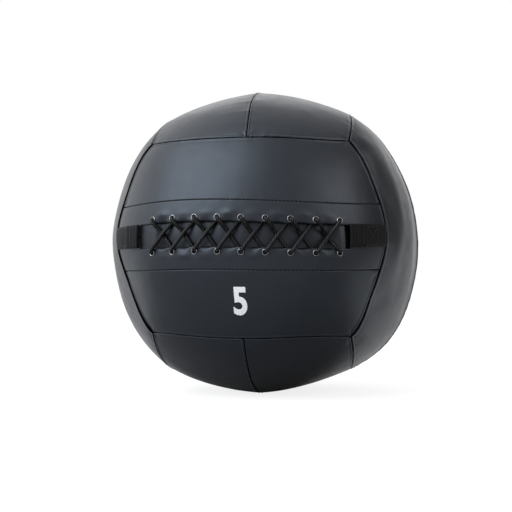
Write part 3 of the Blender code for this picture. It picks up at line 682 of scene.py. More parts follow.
def make_panel(name, material):
    """One panel of the cover: leather whose edges fold down into the seams."""
    face, low, high = PANELS[name]
    low_edge, high_edge = low + SEAM_GAP_SHARE, high - SEAM_GAP_SHARE
    middle = (low + high) / 2
    length = float(2 * face_reach(np.array(middle)) * RADIUS * math.sqrt(1 - middle ** 2))
    width = RADIUS * (math.asin(high) - math.asin(low))
    along, along_inner = stations(length)
    across, across_inner = stations(width)
    fold = edge_fold(len(along))[:, None] | edge_fold(len(across))[None, :]

    def place(along_places, across_places, extra):
        along_place, across_place = np.meshgrid(along_places, across_places, indexing="ij")
        lift = low_edge + (high_edge - low_edge) * (across_place + 1) / 2
        direction = face_direction(face, along_place * face_reach(lift), lift)
        depth, mark = cover_depth(name, direction)
        return on_ball(direction, np.where(fold, FOLD_DEPTH, depth + extra)), mark

    outer, mark = place(along, across, 0.0)
    inner, _ = place(along_inner, across_inner, LEATHER_THICKNESS)
    piece_name = name.replace("panel", "cover")
    mesh = shell_mesh(piece_name, outer, inner, from_seam=mark)
    panel = add_piece(piece_name, mesh, material, name)


def eyelet_arcs():
    middle = (EYELET_PAIR_COUNT - 1) / 2
    return [EYELET_SHIFT + (index - middle) * EYELET_PITCH for index in range(EYELET_PAIR_COUNT)]


def pucker_share(arc):
    """0 at each eyelet and outside them, 1 midway between two."""
    steps = (arc - EYELET_SHIFT) / EYELET_PITCH + (EYELET_PAIR_COUNT - 1) / 2
    inside = (steps > 0) & (steps < EYELET_PAIR_COUNT - 1)
    return np.where(inside, np.sin(math.pi * steps) ** 2, 0.0)


def placket_edge_height(arc):
    open_height = OPENING_HALF_GAP + SCALLOP_DEPTH * pucker_share(arc)
    closing = np.clip((np.abs(arc) - OPENING_HALF_LENGTH) / OPENING_CORNER, 0, 1)
    return open_height + (SEAM_HALF_GAP - open_height) * closing


def placket_depth(side, arc, height, edge):
    """Depth of a placket's outer face: pillowed between the eyelets, rolled at its free edge."""
    inwards = height - edge
    laced = pucker_share(arc)
    steps = np.floor((arc - EYELET_SHIFT) / EYELET_PITCH + 4)
    uneven = 0.75 + 0.35 * np.sin(steps * 2.4 + side * 1.3)
    bulge_height = HEM_BULGE_HEIGHT * (1 if side > 0 else LOWER_HEM_SHARE)
    bulge = bulge_height * laced * uneven * np.exp(-((inwards - HEM_BULGE_PLACE) / HEM_BULGE_WIDTH) ** 2)
    turned_in = laced ** 1.5 * uneven
    hem_width = HEM_ROLL_WIDTH + LACED_ROLL_WIDTH * turned_in
    depth = rolled(inwards, hem_width, HEM_ROLL_DEPTH + LACED_ROLL_DEPTH * turned_in) - bulge

    seam = PLACKET_SEAM_HEIGHT - SEAM_HALF_GAP - height
    roll = seam_roll(seam, SEAM_STRENGTHS["placket"])
    wave = pucker_strength(arc, 71 + side) * ripple(arc, PLACKET_PUCKER_PITCH, 75 + side)
    depth = depth + roll + PLACKET_PUCKER_DEPTH * wave * np.exp(-seam / PUCKER_REACH)
    direction = front_direction(arc, side * height)
    level = np.clip(direction @ FACES["front"][0], SEAM_PLANE_SHARE, 1)
    end = RADIUS * (np.arcsin(level) - math.asin(SEAM_PLANE_SHARE))
    right_strength = SEAM_STRENGTHS["front right"]
    depth = depth + seam_roll(end, right_strength) - ridge(end, right_strength)

    pinned = np.abs(arc - EYELET_SHIFT) < LACED_HALF_PITCHES * EYELET_PITCH
    calm = np.exp(-((height - EYELET_ROW_HEIGHT) / EYELET_CALM_REACH) ** 2) * (1 - laced) * pinned
    depth = depth + unevenness(direction) * (1 - calm)
    end_strength = np.where(arc > 0, right_strength, SEAM_STRENGTHS["front left"])
    # Distance from the seams in widths of the shade that the leather paints along them
    placket_seam_shade = seam_shadow(seam, SEAM_STRENGTHS["placket"], "front")
    return depth, np.minimum(placket_seam_shade, seam_shadow(end, end_strength, "front"))


def make_placket(side, row, material):
    """One strip beside the opening: scalloped at its free edge, and with the holes for the eyelets."""
    strip = PLACKET_SEAM_HEIGHT - SEAM_HALF_GAP - OPENING_HALF_GAP
    seam_half = float(face_reach(np.array(PLACKET_SEAM_SHARE / 2))) * FRONT_RADIUS
    count = round(2 * OPENING_HALF_LENGTH / PLACKET_STEP)
    middle = np.linspace(-OPENING_HALF_LENGTH, OPENING_HALF_LENGTH, count + 1)
    closed = OPENING_HALF_LENGTH + OPENING_CORNER * np.array((0.25, 0.5, 0.75, 1.0))
    near_seam = seam_half - EDGE_STATIONS[::-1]
    plain = np.linspace(closed[-1], near_seam[0], 12)[1:-1]
    half = np.concatenate([closed, plain, near_seam, near_seam[-1:]])
    arcs = np.concatenate([-half[::-1], middle, half])
    plain_rows = np.linspace(EDGE_ROWS[-1], strip - EDGE_STATIONS[-1], 12)[1:-1]
    heights = np.concatenate([EDGE_ROWS, plain_rows, strip - EDGE_STATIONS[::-1], [strip]])
    fold = edge_fold(len(arcs))[:, None] | edge_fold(len(heights), both=False)[None, :]

    def place(extra):
        share = np.clip(heights, 0, strip - extra) / strip
        arc, share = np.meshgrid(np.clip(arcs, -seam_half + extra, seam_half - extra), share, indexing="ij")
        edge = placket_edge_height(arc)
        height = edge + (strip + OPENING_HALF_GAP - edge) * share
        lift = height / FRONT_RADIUS
        limit = face_reach(lift) / (seam_half / FRONT_RADIUS)
        near_end = smooth_step((np.abs(arc) - 0.75 * seam_half) / (0.25 * seam_half))
        turn = arc / FRONT_RADIUS * (1 + (limit - 1) * near_end)
        depth, mark = placket_depth(side, turn * FRONT_RADIUS, height, edge)
        direction = face_direction("front", turn, side * lift)
        near_edge = np.exp(-((height - edge) / EYELET_CALM_REACH) ** 2)
        thickness = extra * (1 + HEM_THICKENING_SHARE * pucker_share(arc) * near_edge)
        return on_ball(direction, np.where(fold, FOLD_DEPTH, depth + thickness)), mark

    outer, mark = place(0.0)
    inner, _ = place(LEATHER_THICKNESS)
    name = f"closure_strip_{row}"
    mesh = cut_holes(shell_mesh(name, outer, inner, from_seam=mark), side)
    placket = add_piece(name, mesh, material, f"placket_{row}")


def eyelet_matrix(arc, side):
    """Frame of an eyelet: its centre on the strip's outer face, and +Z out of the ball."""
    height = side * EYELET_ROW_HEIGHT
    step = EYELET_FLANGE_RADIUS
    centre = Vector(front_point(arc, height, 0.0))
    run = Vector(front_point(arc + step, height, 0.0)) - Vector(front_point(arc - step, height, 0.0))
    rise = Vector(front_point(arc, height + step, 0.0)) - Vector(front_point(arc, height - step, 0.0))
    outward = run.cross(rise).normalized()
    run.normalize()
    turned = Matrix((run, outward.cross(run), outward)).transposed().to_4x4()
    return Matrix.Translation(centre) @ turned


def cut_holes(mesh, side):
    """The mesh of a placket with the holes for its eyelets cut out."""
    holes = bmesh.new()
    for arc in eyelet_arcs():
        bmesh.ops.create_cone(
            holes, cap_ends=True, segments=HOLE_SIDES, radius1=HOLE_RADIUS, radius2=HOLE_RADIUS,
            depth=HOLE_DEPTH, matrix=eyelet_matrix(arc, side),
        )
    strip = link_object("strip", mesh)
    cutter = link_object("holes", mesh_of(holes, "holes", smooth=False))
    cut = strip.modifiers.new("Holes", "BOOLEAN")
    cut.operation = "DIFFERENCE"
    cut.object = cutter
    result = evaluated_mesh(strip)
    bpy.data.objects.remove(strip, do_unlink=True)
    bpy.data.objects.remove(cutter, do_unlink=True)
    return result


def evaluated_mesh(made):
    bpy.context.view_layer.update()
    return bpy.data.meshes.new_from_object(made.evaluated_get(bpy.context.evaluated_depsgraph_get()))


def eyelet_mesh():
    """Turned section of a pressed eyelet: a domed flange, a barrel, and the rolled edge at the back."""
    flange, bore = EYELET_FLANGE_RADIUS, EYELET_BORE_RADIUS
    middle, half = (flange + bore) / 2, (flange - bore) / 2
    angles = [math.pi * step / 12 for step in range(13)]
    back = -LEATHER_THICKNESS - EYELET_BARREL_OVERRUN
    rolled_edge = ((0.1, -0.35), (0.5, -0.45), (0.85, -0.2), (0.8, 0.0), (0.3, 0.0))
    section = [
        (middle + half * math.cos(angle), EYELET_SEAT_GAP + EYELET_FLANGE_RISE * math.sin(angle))
        for angle in angles
    ]
    section += [(bore, 0.0), (bore, back)] + [(bore + out * MM, back + up * MM) for out, up in rolled_edge]
    section = np.array(section + [(bore + rolled_edge[-1][0] * MM, EYELET_SEAT_GAP)])
    turns = np.arange(EYELET_SIDES) / EYELET_SIDES * 2 * math.pi
    points = np.stack([
        section[:, None, 0] * np.cos(turns), section[:, None, 0] * np.sin(turns),
        np.broadcast_to(section[:, None, 1], (len(section), EYELET_SIDES)),
    ], -1).reshape(-1, 3)
    index = np.arange(len(points)).reshape(len(section), EYELET_SIDES)
    beside, below = np.roll(index, -1, axis=1), np.roll(index, -1, axis=0)
    faces = np.stack([index, beside, np.roll(below, -1, axis=1), below], -1).reshape(-1, 4).tolist()
    mesh = closed_mesh("eyelet_ring", points, faces)
    mesh.set_sharp_from_angle(angle=math.radians(50))
    return mesh


def make_eyelets(material):
    mesh = eyelet_mesh()
    for side, row in SIDES:
        for number, arc in enumerate(eyelet_arcs(), start=1):
            name, node = f"eyelet_ring_{row}_{number}", f"eyelet_{row}_{number}"
            add_piece(name, mesh, material, node, eyelet_matrix(arc, side))


def lace_leg(start, end, on_top, ends_over):
    """Points of one leg between the turns at two eyelets, as (arc, height, depth)."""
    start, end = np.array(start), np.array(end)
    run = math.hypot(*(end - start))
    crossing = LACE_CROSSING_DEPTH if on_top else LACE_UNDER_DEPTH
    level = 0.0 if on_top else LACE_CROSSING_RUN
    end_depth = LACE_OVER_DEPTH if ends_over else LACE_UNDER_DEPTH
    points = []
    for step in range(LACE_LEG_STEPS + 1):
        travel = LACE_TURN_RADIUS + (run - 2 * LACE_TURN_RADIUS) * step / LACE_LEG_STEPS
        if travel < run / 2:
            part = (travel - LACE_EDGE_RUN) / (run / 2 - level - LACE_EDGE_RUN)
            depth = LACE_OVER_DEPTH + (crossing - LACE_OVER_DEPTH) * float(smooth_step(part))
        else:
            part = (travel - run / 2 - level) / (run / 2 - level - LACE_EDGE_RUN)
            depth = crossing + (end_depth - crossing) * float(smooth_step(part))
        points.append((*(start + (end - start) * (travel / run)), depth))
    return points


def lace_turn(place, arrive, leave, rising):
    """Points of the turn through an eyelet between two directions, rising out of it or sinking in."""
    middle = (LACE_UNDER_DEPTH + LACE_OVER_DEPTH) / 2
    points = []
    for step in range(1, 4):
        angle = math.pi * step / 4
        offset = LACE_TURN_RADIUS - LACE_TURN_RADIUS * math.sin(angle)
        plan = arrive if step < 2 else leave
        offset = -offset if step < 2 else offset
        swing = LACE_TURN_RADIUS * math.cos(angle)
        depth = middle + swing if rising else middle - swing
        points.append((place[0] + plan[0] * offset, place[1] + plan[1] * offset, depth))
    return points


def lace_half(first_side):
    """Half of the lace, from the bar at the left pair to its tail at the right."""
    places = [(arc, first_side * (-1) ** index * LACE_ROW_HEIGHT) for index, arc in enumerate(eyelet_arcs())]
    arrive = (0.0, float(first_side))
    points = []
    for place, following in zip(places, places[1:]):
        run = math.hypot(following[0] - place[0], following[1] - place[1])
        leave = ((following[0] - place[0]) / run, (following[1] - place[1]) / run)
        points += lace_turn(place, arrive, leave, rising=True)
        points += lace_leg(place, following, following[1] > place[1], ends_over=following is places[-1])
        arrive = leave
    arc, height = places[-1]
    points += lace_turn(places[-1], arrive, (1.0, 0.0), rising=False)
    for share in (0.0, 0.5, 1.0):
        points.append((arc + LACE_TURN_RADIUS + LACE_TAIL_LENGTH * share, height, LACE_UNDER_DEPTH))
    return points


def lace_line():
    """The lace's middle line, smoothed and cut into short even steps."""
    bar_half = LACE_ROW_HEIGHT - LACE_TURN_RADIUS
    bar = [(eyelet_arcs()[0], bar_half * share, LACE_UNDER_DEPTH) for share in (1.0, 1 / 3, -1 / 3, -1.0)]
    plan = np.array(lace_half(1)[::-1] + bar + lace_half(-1))
    points = front_point(plan[:, 0], plan[:, 1], plan[:, 2])
    padded = np.concatenate([[2 * points[0] - points[1]], points, [2 * points[-1] - points[-2]]])
    shares = np.linspace(0, 1, 12, endpoint=False)[:, None]
    bends = []
    for first, start, end, last in zip(padded, padded[1:], padded[2:], padded[3:]):
        bends.append(0.5 * (
            2 * start + (end - first) * shares + (2 * first - 5 * start + 4 * end - last) * shares ** 2
            + (3 * start - first - 3 * end + last) * shares ** 3
        ))
    smooth = np.concatenate(bends + [points[-1:]])
    travelled = travelled_along(smooth)
    even = np.linspace(0, travelled[-1], round(travelled[-1] / LACE_STEP) + 1)
    return at_lengths(even, travelled, smooth), even


def make_lace(material):
    """Round braid along the lace's line: two sets of strands that cross over and under each other."""
    line, travelled = lace_line()
    heading = np.gradient(line, axis=0)
    heading /= np.linalg.norm(heading, axis=1, keepdims=True)
    normal = np.cross(heading[0], AXIS_Z)
    normal /= np.linalg.norm(normal)
    normals = []
    for tangent in heading:
        normal = normal - tangent * (normal @ tangent)
        normal /= np.linalg.norm(normal)
        normals.append(normal)
    normals = np.array(normals)
    sideways = np.cross(heading, normals)
    turn = np.arange(LACE_SIDES) / LACE_SIDES * 2 * math.pi
    around = turn[None, :] / (2 * math.pi) * BRAID_STRANDS
    first = around + travelled[:, None] / BRAID_STEP
    second = around - travelled[:, None] / BRAID_STEP
    heights = []
    for strands, others, sign in ((first, second, 1), (second, first, -1)):
        whole = np.round(strands)
        crossing = sign * BRAID_CROSSING_SHARE * (-1) ** whole * np.cos(math.pi * others)
        heights.append(np.cos(math.pi * (strands - whole)) + crossing)
    relief = np.maximum(*heights)
    radius = LACE_RADIUS - BRAID_RELIEF * 1.1 + BRAID_RELIEF * relief
    ring = (
        normals[:, None] * (np.cos(turn)[None, :] * radius)[..., None]
        + sideways[:, None] * (np.sin(turn)[None, :] * radius)[..., None]
    )
    index = np.arange(len(line) * LACE_SIDES).reshape(len(line), LACE_SIDES)
    after = np.roll(index, -1, axis=1)
    faces = np.stack([index[:-1], after[:-1], after[1:], index[1:]], -1).reshape(-1, 4).tolist()
    faces += [index[0][::-1].tolist(), index[-1].tolist()]
    points = (line[:, None] + ring).reshape(-1, 3)
    add_piece(
        "lace_braided", closed_mesh("lace_braided", points, faces, strand_height=relief.ravel()), material,
        "lace",
    )


def tongue_face_depth(arc, height):
    """Depth of the tongue's face: under the crossings, puffed out between them, and up at both ends."""
    arcs = eyelet_arcs()
    left = smooth_step((arcs[0] + TONGUE_END_MARGIN - arc) / TONGUE_LEFT_RUN)
    right = smooth_step((arc - (arcs[-1] - TONGUE_END_MARGIN)) / TONGUE_RIGHT_RUN)
    ends = np.maximum(left, right)
    steps = (arc - EYELET_SHIFT) / EYELET_PITCH
    puff = TONGUE_PUFF * np.cos(math.pi * steps) ** 2 * np.clip(1 - (height / TONGUE_PUFF_REACH) ** 2, 0, 1)
    tilt = TONGUE_TILT * right * height / TONGUE_FACE_HALF_HEIGHT
    depth = TONGUE_DEPTH - (TONGUE_DEPTH - TONGUE_EDGE_DEPTH) * ends - puff * (1 - ends) + tilt
    edge = rolled(TONGUE_FACE_HALF_HEIGHT - np.abs(height), *TONGUE_EDGE_ROLL)
    return depth + edge + rolled(TONGUE_FACE_RIGHT - arc, *TONGUE_END_ROLL)


def tongue_base_depth(_, height):
    """Depth of the tongue's base, which is the same all along it and comes up at both long edges."""
    edge_run = TONGUE_HALF_HEIGHT - TONGUE_CHANNEL_HEIGHT
    low = TONGUE_DEPTH + TONGUE_BASE_DROP
    return low + (TONGUE_EDGE_DEPTH - low) * smooth_step((np.abs(height) - TONGUE_CHANNEL_HEIGHT) / edge_run)


def make_tongue(material):
    """The tongue's two layers, as one piece."""
    half = TONGUE_FACE_HALF_HEIGHT
    face_arcs = np.linspace(TONGUE_FACE_LEFT, TONGUE_FACE_RIGHT - 1.5 * MM, 160)
    face_arcs = np.concatenate([face_arcs, TONGUE_FACE_RIGHT - TONGUE_END_STATIONS])
    face_edge = half - TONGUE_EDGE_STATIONS
    face_heights = np.linspace(-half + 1.4 * MM, half - 1.4 * MM, 18)
    face_heights = np.concatenate([-face_edge[::-1], face_heights, face_edge])
    base_arcs = np.linspace(-TONGUE_HALF_LENGTH, TONGUE_HALF_LENGTH, 90)
    base_heights = np.linspace(-TONGUE_HALF_HEIGHT, TONGUE_HALF_HEIGHT, 40)
    work = bmesh.new()
    for name, arcs, heights, depth_at, thickness in (
        ("tongue_face", face_arcs, face_heights, tongue_face_depth, TONGUE_FACE_THICKNESS),
        ("tongue_base", base_arcs, base_heights, tongue_base_depth, TONGUE_BASE_THICKNESS),
    ):
        arc, height = np.meshgrid(arcs, heights, indexing="ij")
        depth = depth_at(arc, height)
        outer, inner = front_point(arc, height, depth), front_point(arc, height, depth + thickness)
        work.from_mesh(shell_mesh(name, outer, inner, from_seam=np.full_like(arc, FAR_FROM_SEAM)))
    tongue = add_piece("tongue_strip", mesh_of(work, "tongue_strip"), material, "tongue")


def tab_line(end):
    """Middle line of a folded tab as (arc, lift), from the seam to the opening and back."""
    low = WEBBING_LIFT + WEBBING_THICKNESS / 2
    turn = (WEBBING_THICKNESS + WEBBING_FOLD_GAP) / 2
    fold = end + WEBBING_THICKNESS / 2 + turn
    seam = float(face_reach(np.array(0.0))) * FRONT_RADIUS - TAB_SEAM_MARGIN
    flat = seam - TAB_SEAM_RUN
    points = [(seam, low - 1.4 * MM), (seam - 1.2 * MM, low - 0.5 * MM), (flat, low)]
    points += [(flat + (fold - flat) * step / 24, low) for step in range(1, 25)]
    for step in range(1, 12):
        angle = math.pi * step / 12
        points.append((fold - turn * math.sin(angle), low + turn * (1 - math.cos(angle))))
    for step in range(TAB_FOLDED_STEPS + 1):
        points.append((fold + TAB_FOLDED_LENGTH * step / TAB_FOLDED_STEPS, low + 2 * turn))
    points.append((fold + TAB_FOLDED_LENGTH + 0.6 * MM, low + 2 * turn - 0.5 * MM))
    return np.array(points)


def make_tab(name, material):
    """One webbing tab: its tail lies on the placket ends, and it folds back over itself at the opening."""
    side, end, rise = TABS[name]
    line = tab_line(end)
    rows = np.linspace(-WEBBING_WIDTH / 2, WEBBING_WIDTH / 2, 21)
    heading = np.gradient(line, axis=0)
    heading /= np.linalg.norm(heading, axis=1, keepdims=True)
    normal = np.stack([-heading[:, 1], heading[:, 0]], -1)
    share = np.clip((line[:, 0] - end) / TAB_FOLDED_LENGTH, 0, 1)
    folded_end = np.arange(len(line)) > len(line) - TAB_FOLDED_STEPS - 2
    wave = (np.cos(share * TAB_GROOVE_COUNT * 2 * math.pi) - 1) / 2
    grooves = np.where(folded_end, TAB_GROOVE_DEPTH * wave, 0)
    edge_drop = WEBBING_EDGE_DROP * (np.abs(rows) / (WEBBING_WIDTH / 2)) ** 10

    def place(offset):
        arc = (line[:, 0] + normal[:, 0] * offset)[:, None]
        lift = (line[:, 1] + normal[:, 1] * offset + grooves)[:, None]
        lift = lift - edge_drop * np.sign(offset) * normal[:, 1][:, None]
        return front_point(side * arc, rows[None, :] + rise, -lift)

    travelled = travelled_along(line)[:, None]
    cloth_place = np.stack(np.broadcast_arrays(travelled, rows[None, :], 0.0 * rows[None, :]), -1)
    outer, inner = place(WEBBING_THICKNESS / 2), place(-WEBBING_THICKNESS / 2)
    mesh = shell_mesh(f"tab_{name}", outer, inner, cloth_place=cloth_place)
    add_piece(f"tab_{name}", mesh, material, f"webbing_tab_{name}")


def add_capsule(work, start, end, outward, radius, sides=8):
    """One stitch: a short thread that dips in at both ends."""
    start, end, outward = np.array(start), np.array(end), np.array(outward)
    run = end - start
    length = np.linalg.norm(run)
    run = run / length
    across = np.cross(run, outward)
    across /= np.linalg.norm(across)
    rings = []
    for share in (0.0, 0.08, 0.25, 0.5, 0.75, 0.92, 1.0):
        middle = start + run * length * share - outward * (1.1 * radius * (2 * share - 1) ** 4)
        size = radius * (0.35 if share in (0.0, 1.0) else 1.0)
        angles = [2 * math.pi * side / sides for side in range(sides)]
        rings.append([
            work.verts.new(middle + across * size * math.cos(angle) + outward * size * math.sin(angle))
            for angle in angles
        ])
    for ring, following in zip(rings, rings[1:]):
        for side in range(sides):
            after = (side + 1) % sides
            work.faces.new((ring[side], ring[after], following[after], following[side]))
    work.faces.new(rings[0][::-1])
    work.faces.new(rings[-1])


def stitch_row(work, plan, stitch):
    """Stitches along a line on the front face, given as (arc, height, depth) points."""
    pitch, length, radius, lift = stitch
    plan = np.array(plan)
    points = front_point(plan[:, 0], plan[:, 1], plan[:, 2] - lift)
    travelled = travelled_along(points)
    for number in range(int((travelled[-1] - length) / pitch) + 1):
        start, end = at_lengths([number * pitch, number * pitch + length], travelled, points)
        outward = start - CENTRE
        add_capsule(work, start, end, outward / np.linalg.norm(outward), radius)


def finish_stitches(work, name, material):
    bmesh.ops.recalc_face_normals(work, faces=work.faces)
    add_piece(name, mesh_of(work, name), material)


def make_stitches(thread):
    for side, row in SIDES:
        work = bmesh.new()
        arcs = np.linspace(-SEAM_STITCH_END, SEAM_STITCH_END, 300)
        stitch_row(work, [(arc, side * PLACKET_SEAM_HEIGHT, SEAM_STITCH_DEPTH) for arc in arcs], SEAM_STITCH)
        finish_stitches(work, f"seam_stitches_{row}", thread)
    for name, (side, end, rise) in TABS.items():
        work = bmesh.new()
        lift = WEBBING_LIFT + WEBBING_THICKNESS
        half = WEBBING_WIDTH / 2 - BOX_MARGIN
        low, high = rise - half, rise + half
        inner, outer = end + BOX_START, BOX_END
        corners = [(inner, low), (outer, low), (outer, high), (inner, high)]
        lines = [(corners[first], corners[first - 3]) for first in range(4)]
        for first, second in lines + [(corners[0], corners[2]), (corners[1], corners[3])]:
            run, rise = second[0] - first[0], second[1] - first[1]
            plan = [
                (side * (first[0] + run * share), first[1] + rise * share, -lift)
                for share in np.linspace(0, 1, 12)
            ]
            stitch_row(work, plan, BOX_STITCH)
        upper = lift + WEBBING_THICKNESS + WEBBING_FOLD_GAP
        for place in BAR_PLACES:
            plan = [
                (side * (end + place), height, -upper + WEBBING_LIFT) for height in np.linspace(low, high, 12)
            ]
            stitch_row(work, plan, BAR_STITCH)
        finish_stitches(work, f"tab_stitches_{name}", thread)


def make_weight_mark(material):
    """Plain number, printed a little proud of the lower front panel."""
    curve = bpy.data.curves.new("weight_mark", "FONT")
    curve.body = MARK_TEXT
    curve.size = 1.0
    curve.offset = MARK_WEIGHT_OFFSET
    curve.resolution_u = 8
    curve.extrude = 0.5
    text = link_object("weight_mark_text", curve)
    mesh = evaluated_mesh(text)
    bpy.data.objects.remove(text, do_unlink=True)
    work = bmesh.new()
    work.from_mesh(mesh)
    bmesh.ops.remove_doubles(work, verts=work.verts, dist=1e-5)
    places = np.array([vert.co for vert in work.verts])
    low, high = places.min(0), places.max(0)
    scale = MARK_HEIGHT / (high[1] - low[1])
    middle = (high + low) / 2
    for vert in work.verts:
        across, up = (vert.co.x - middle[0]) * scale, (vert.co.y - middle[1]) * scale
        vert.co = Vector((across + MARK_MIDDLE[0], up + MARK_MIDDLE[1], vert.co.z))
    for axis, low, high in ((Vector((1, 0, 0)), -40 * MM, 40 * MM), (Vector((0, 1, 0)), -90 * MM, -40 * MM)):
        for place in np.arange(low, high, MARK_CUT_STEP):
            geometry = list(work.verts) + list(work.edges) + list(work.faces)
            bmesh.ops.bisect_plane(work, geom=geometry, plane_co=axis * place, plane_no=axis, dist=1e-7)
    places = np.array([vert.co for vert in work.verts])
    direction = front_direction(places[:, 0], places[:, 1])
    depth, _ = cover_depth("panel_front_lower", direction)
    points = on_ball(direction, depth - MARK_LIFT - MARK_THICKNESS * places[:, 2])
    for vert, point in zip(work.verts, points):
        vert.co = Vector(point)
    bmesh.ops.triangulate(work, faces=work.faces)
    bmesh.ops.recalc_face_normals(work, faces=work.faces)
    add_piece("weight_mark", mesh_of(work, "weight_mark", smooth=False), material)


def channel_share(direction):
    """1 where the foam makes room for the tongue, 0 away from it."""
    height = np.abs(direction[..., 2]) * FRONT_RADIUS
    turn = np.arctan2(np.abs(direction[..., 0]), -direction[..., 1])
    inside = 1 - smooth_step((height - TONGUE_HALF_HEIGHT - CHANNEL_RISE / 2) / CHANNEL_RISE)
    end = (TONGUE_HALF_LENGTH + CHANNEL_END_LENGTH / 2) / FRONT_RADIUS
    return inside * (1 - smooth_step((turn - end) / (CHANNEL_END_LENGTH / FRONT_RADIUS)))


def foam_outer(direction):
    depth = FOAM_DEPTH + (CHANNEL_DEPTH - FOAM_DEPTH) * channel_share(direction)
    return on_ball(direction, depth + FOAM_UNEVENNESS * swell(direction, FINE_SWELLS))


def foam_inner(direction):
    return on_ball(direction, np.full(direction.shape[:-1], FOAM_DEPTH + FOAM_THICKNESS))


def stuffing_outer(direction):
    return on_ball(direction, STUFFING_DEPTH + STUFFING_LUMPS * np.abs(swell(direction, FINE_SWELLS)))


def stuffing_inner(direction):
    return CENTRE + direction * (CORE_RADIUS + CORE_ROOM)


def half_shell(name, side, faces, parting):
    """Closed upper or lower half of a thick round shell, from its outer and inner faces."""
    turn = np.linspace(0, 2 * math.pi, SHELL_COLUMNS + 1)
    lift = np.linspace(math.pi / 2, 0, SHELL_ROWS + 1)
    lift[0] = math.pi / 2 - POLE_ANGLE
    lift, turn = np.meshgrid(lift, turn, indexing="ij")
    direction = np.stack([
        np.cos(lift) * np.sin(turn), -np.cos(lift) * np.cos(turn), side * np.sin(lift),
    ], -1)
    work = bmesh.new()
    edges = []
    for face, flipped in zip(faces, (side < 0, side > 0)):
        grid = face(direction)
        grid[-1, :, 2] = CENTRE_HEIGHT + side * parting
        rings = [[work.verts.new(point) for point in ring[:-1]] for ring in grid]
        for ring, following in zip(rings, rings[1:]):
            add_band(work, ring, following, flipped)
        work.faces.new(rings[0] if flipped else rings[0][::-1])
        edges.append(rings[-1])
    add_band(work, *edges)
    bmesh.ops.recalc_face_normals(work, faces=work.faces)
    return mesh_of(work, name, sharp_degrees=60)


def make_filling(foam, stuffing):
    """The foam shells and the stuffing in them. Returns the foam pieces, which the cover rests on."""
    foams = []
    for side, half in SIDES:
        mesh = half_shell(f"foam_{half}", side, (foam_outer, foam_inner), SEAM_HALF_GAP)
        foams.append(add_piece(f"foam_{half}", mesh, foam, f"foam_wrap_{half}"))
        mesh = half_shell(f"fibre_{half}", side, (stuffing_outer, stuffing_inner), STUFFING_PARTING)
        add_piece(f"fibre_{half}", mesh, stuffing, f"stuffing_{half}")
    return foams


def make_core(canvas, thread):
    """Canvas bag of iron sand: two rounds sewn together, puckered where they meet the flat rim."""
    turn = np.linspace(0, 2 * math.pi, 181)[:-1]
    start = math.asin(MM / CORE_RADIUS)
    rings = []
    for lift in np.linspace(math.pi / 2 - 0.01, start, 30):
        near_rim = np.exp(-(lift - start) / CORE_GATHER_REACH)
        radius = CORE_RADIUS - CORE_SETBACK + CORE_GATHER * near_rim * np.cos(turn * CORE_GATHER_COUNT)
        rings.append((radius * math.cos(lift), radius * math.sin(lift)))
    rings += [(CORE_SEAM_RADIUS, CORE_SEAM_HALF_HEIGHT), (CORE_RIM_RADIUS, CORE_RIM_HALF_HEIGHT)]
    rings += [(radius, -height) for radius, height in rings[::-1]]
    work = bmesh.new()
    loops = []
    for radius, height in rings:
        level = np.full_like(turn, height + CENTRE_HEIGHT)
        points = np.stack([radius * np.cos(turn), radius * np.sin(turn), level], -1)
        loops.append([work.verts.new(point) for point in points])
    for loop, following in zip(loops, loops[1:]):
        add_band(work, loop, following)
    work.faces.new(loops[0])
    work.faces.new(loops[-1][::-1])
    bmesh.ops.recalc_face_normals(work, faces=work.faces)
    add_piece("sand_bag", mesh_of(work, "sand_bag"), canvas, "core_bag")
    work = bmesh.new()
    stitch_height = CENTRE_HEIGHT + CORE_RIM_HALF_HEIGHT
    for index in range(CORE_STITCH_COUNT):
        angles = [2 * math.pi * (index + share) / CORE_STITCH_COUNT for share in (0.0, 0.7)]
        start, end = [
            (CORE_SEAM_RADIUS * math.cos(angle), CORE_SEAM_RADIUS * math.sin(angle), stitch_height)
            for angle in angles
        ]
        add_capsule(work, start, end, AXIS_Z, CORE_STITCH_RADIUS)
    finish_stitches(work, "sand_bag_stitches", thread)


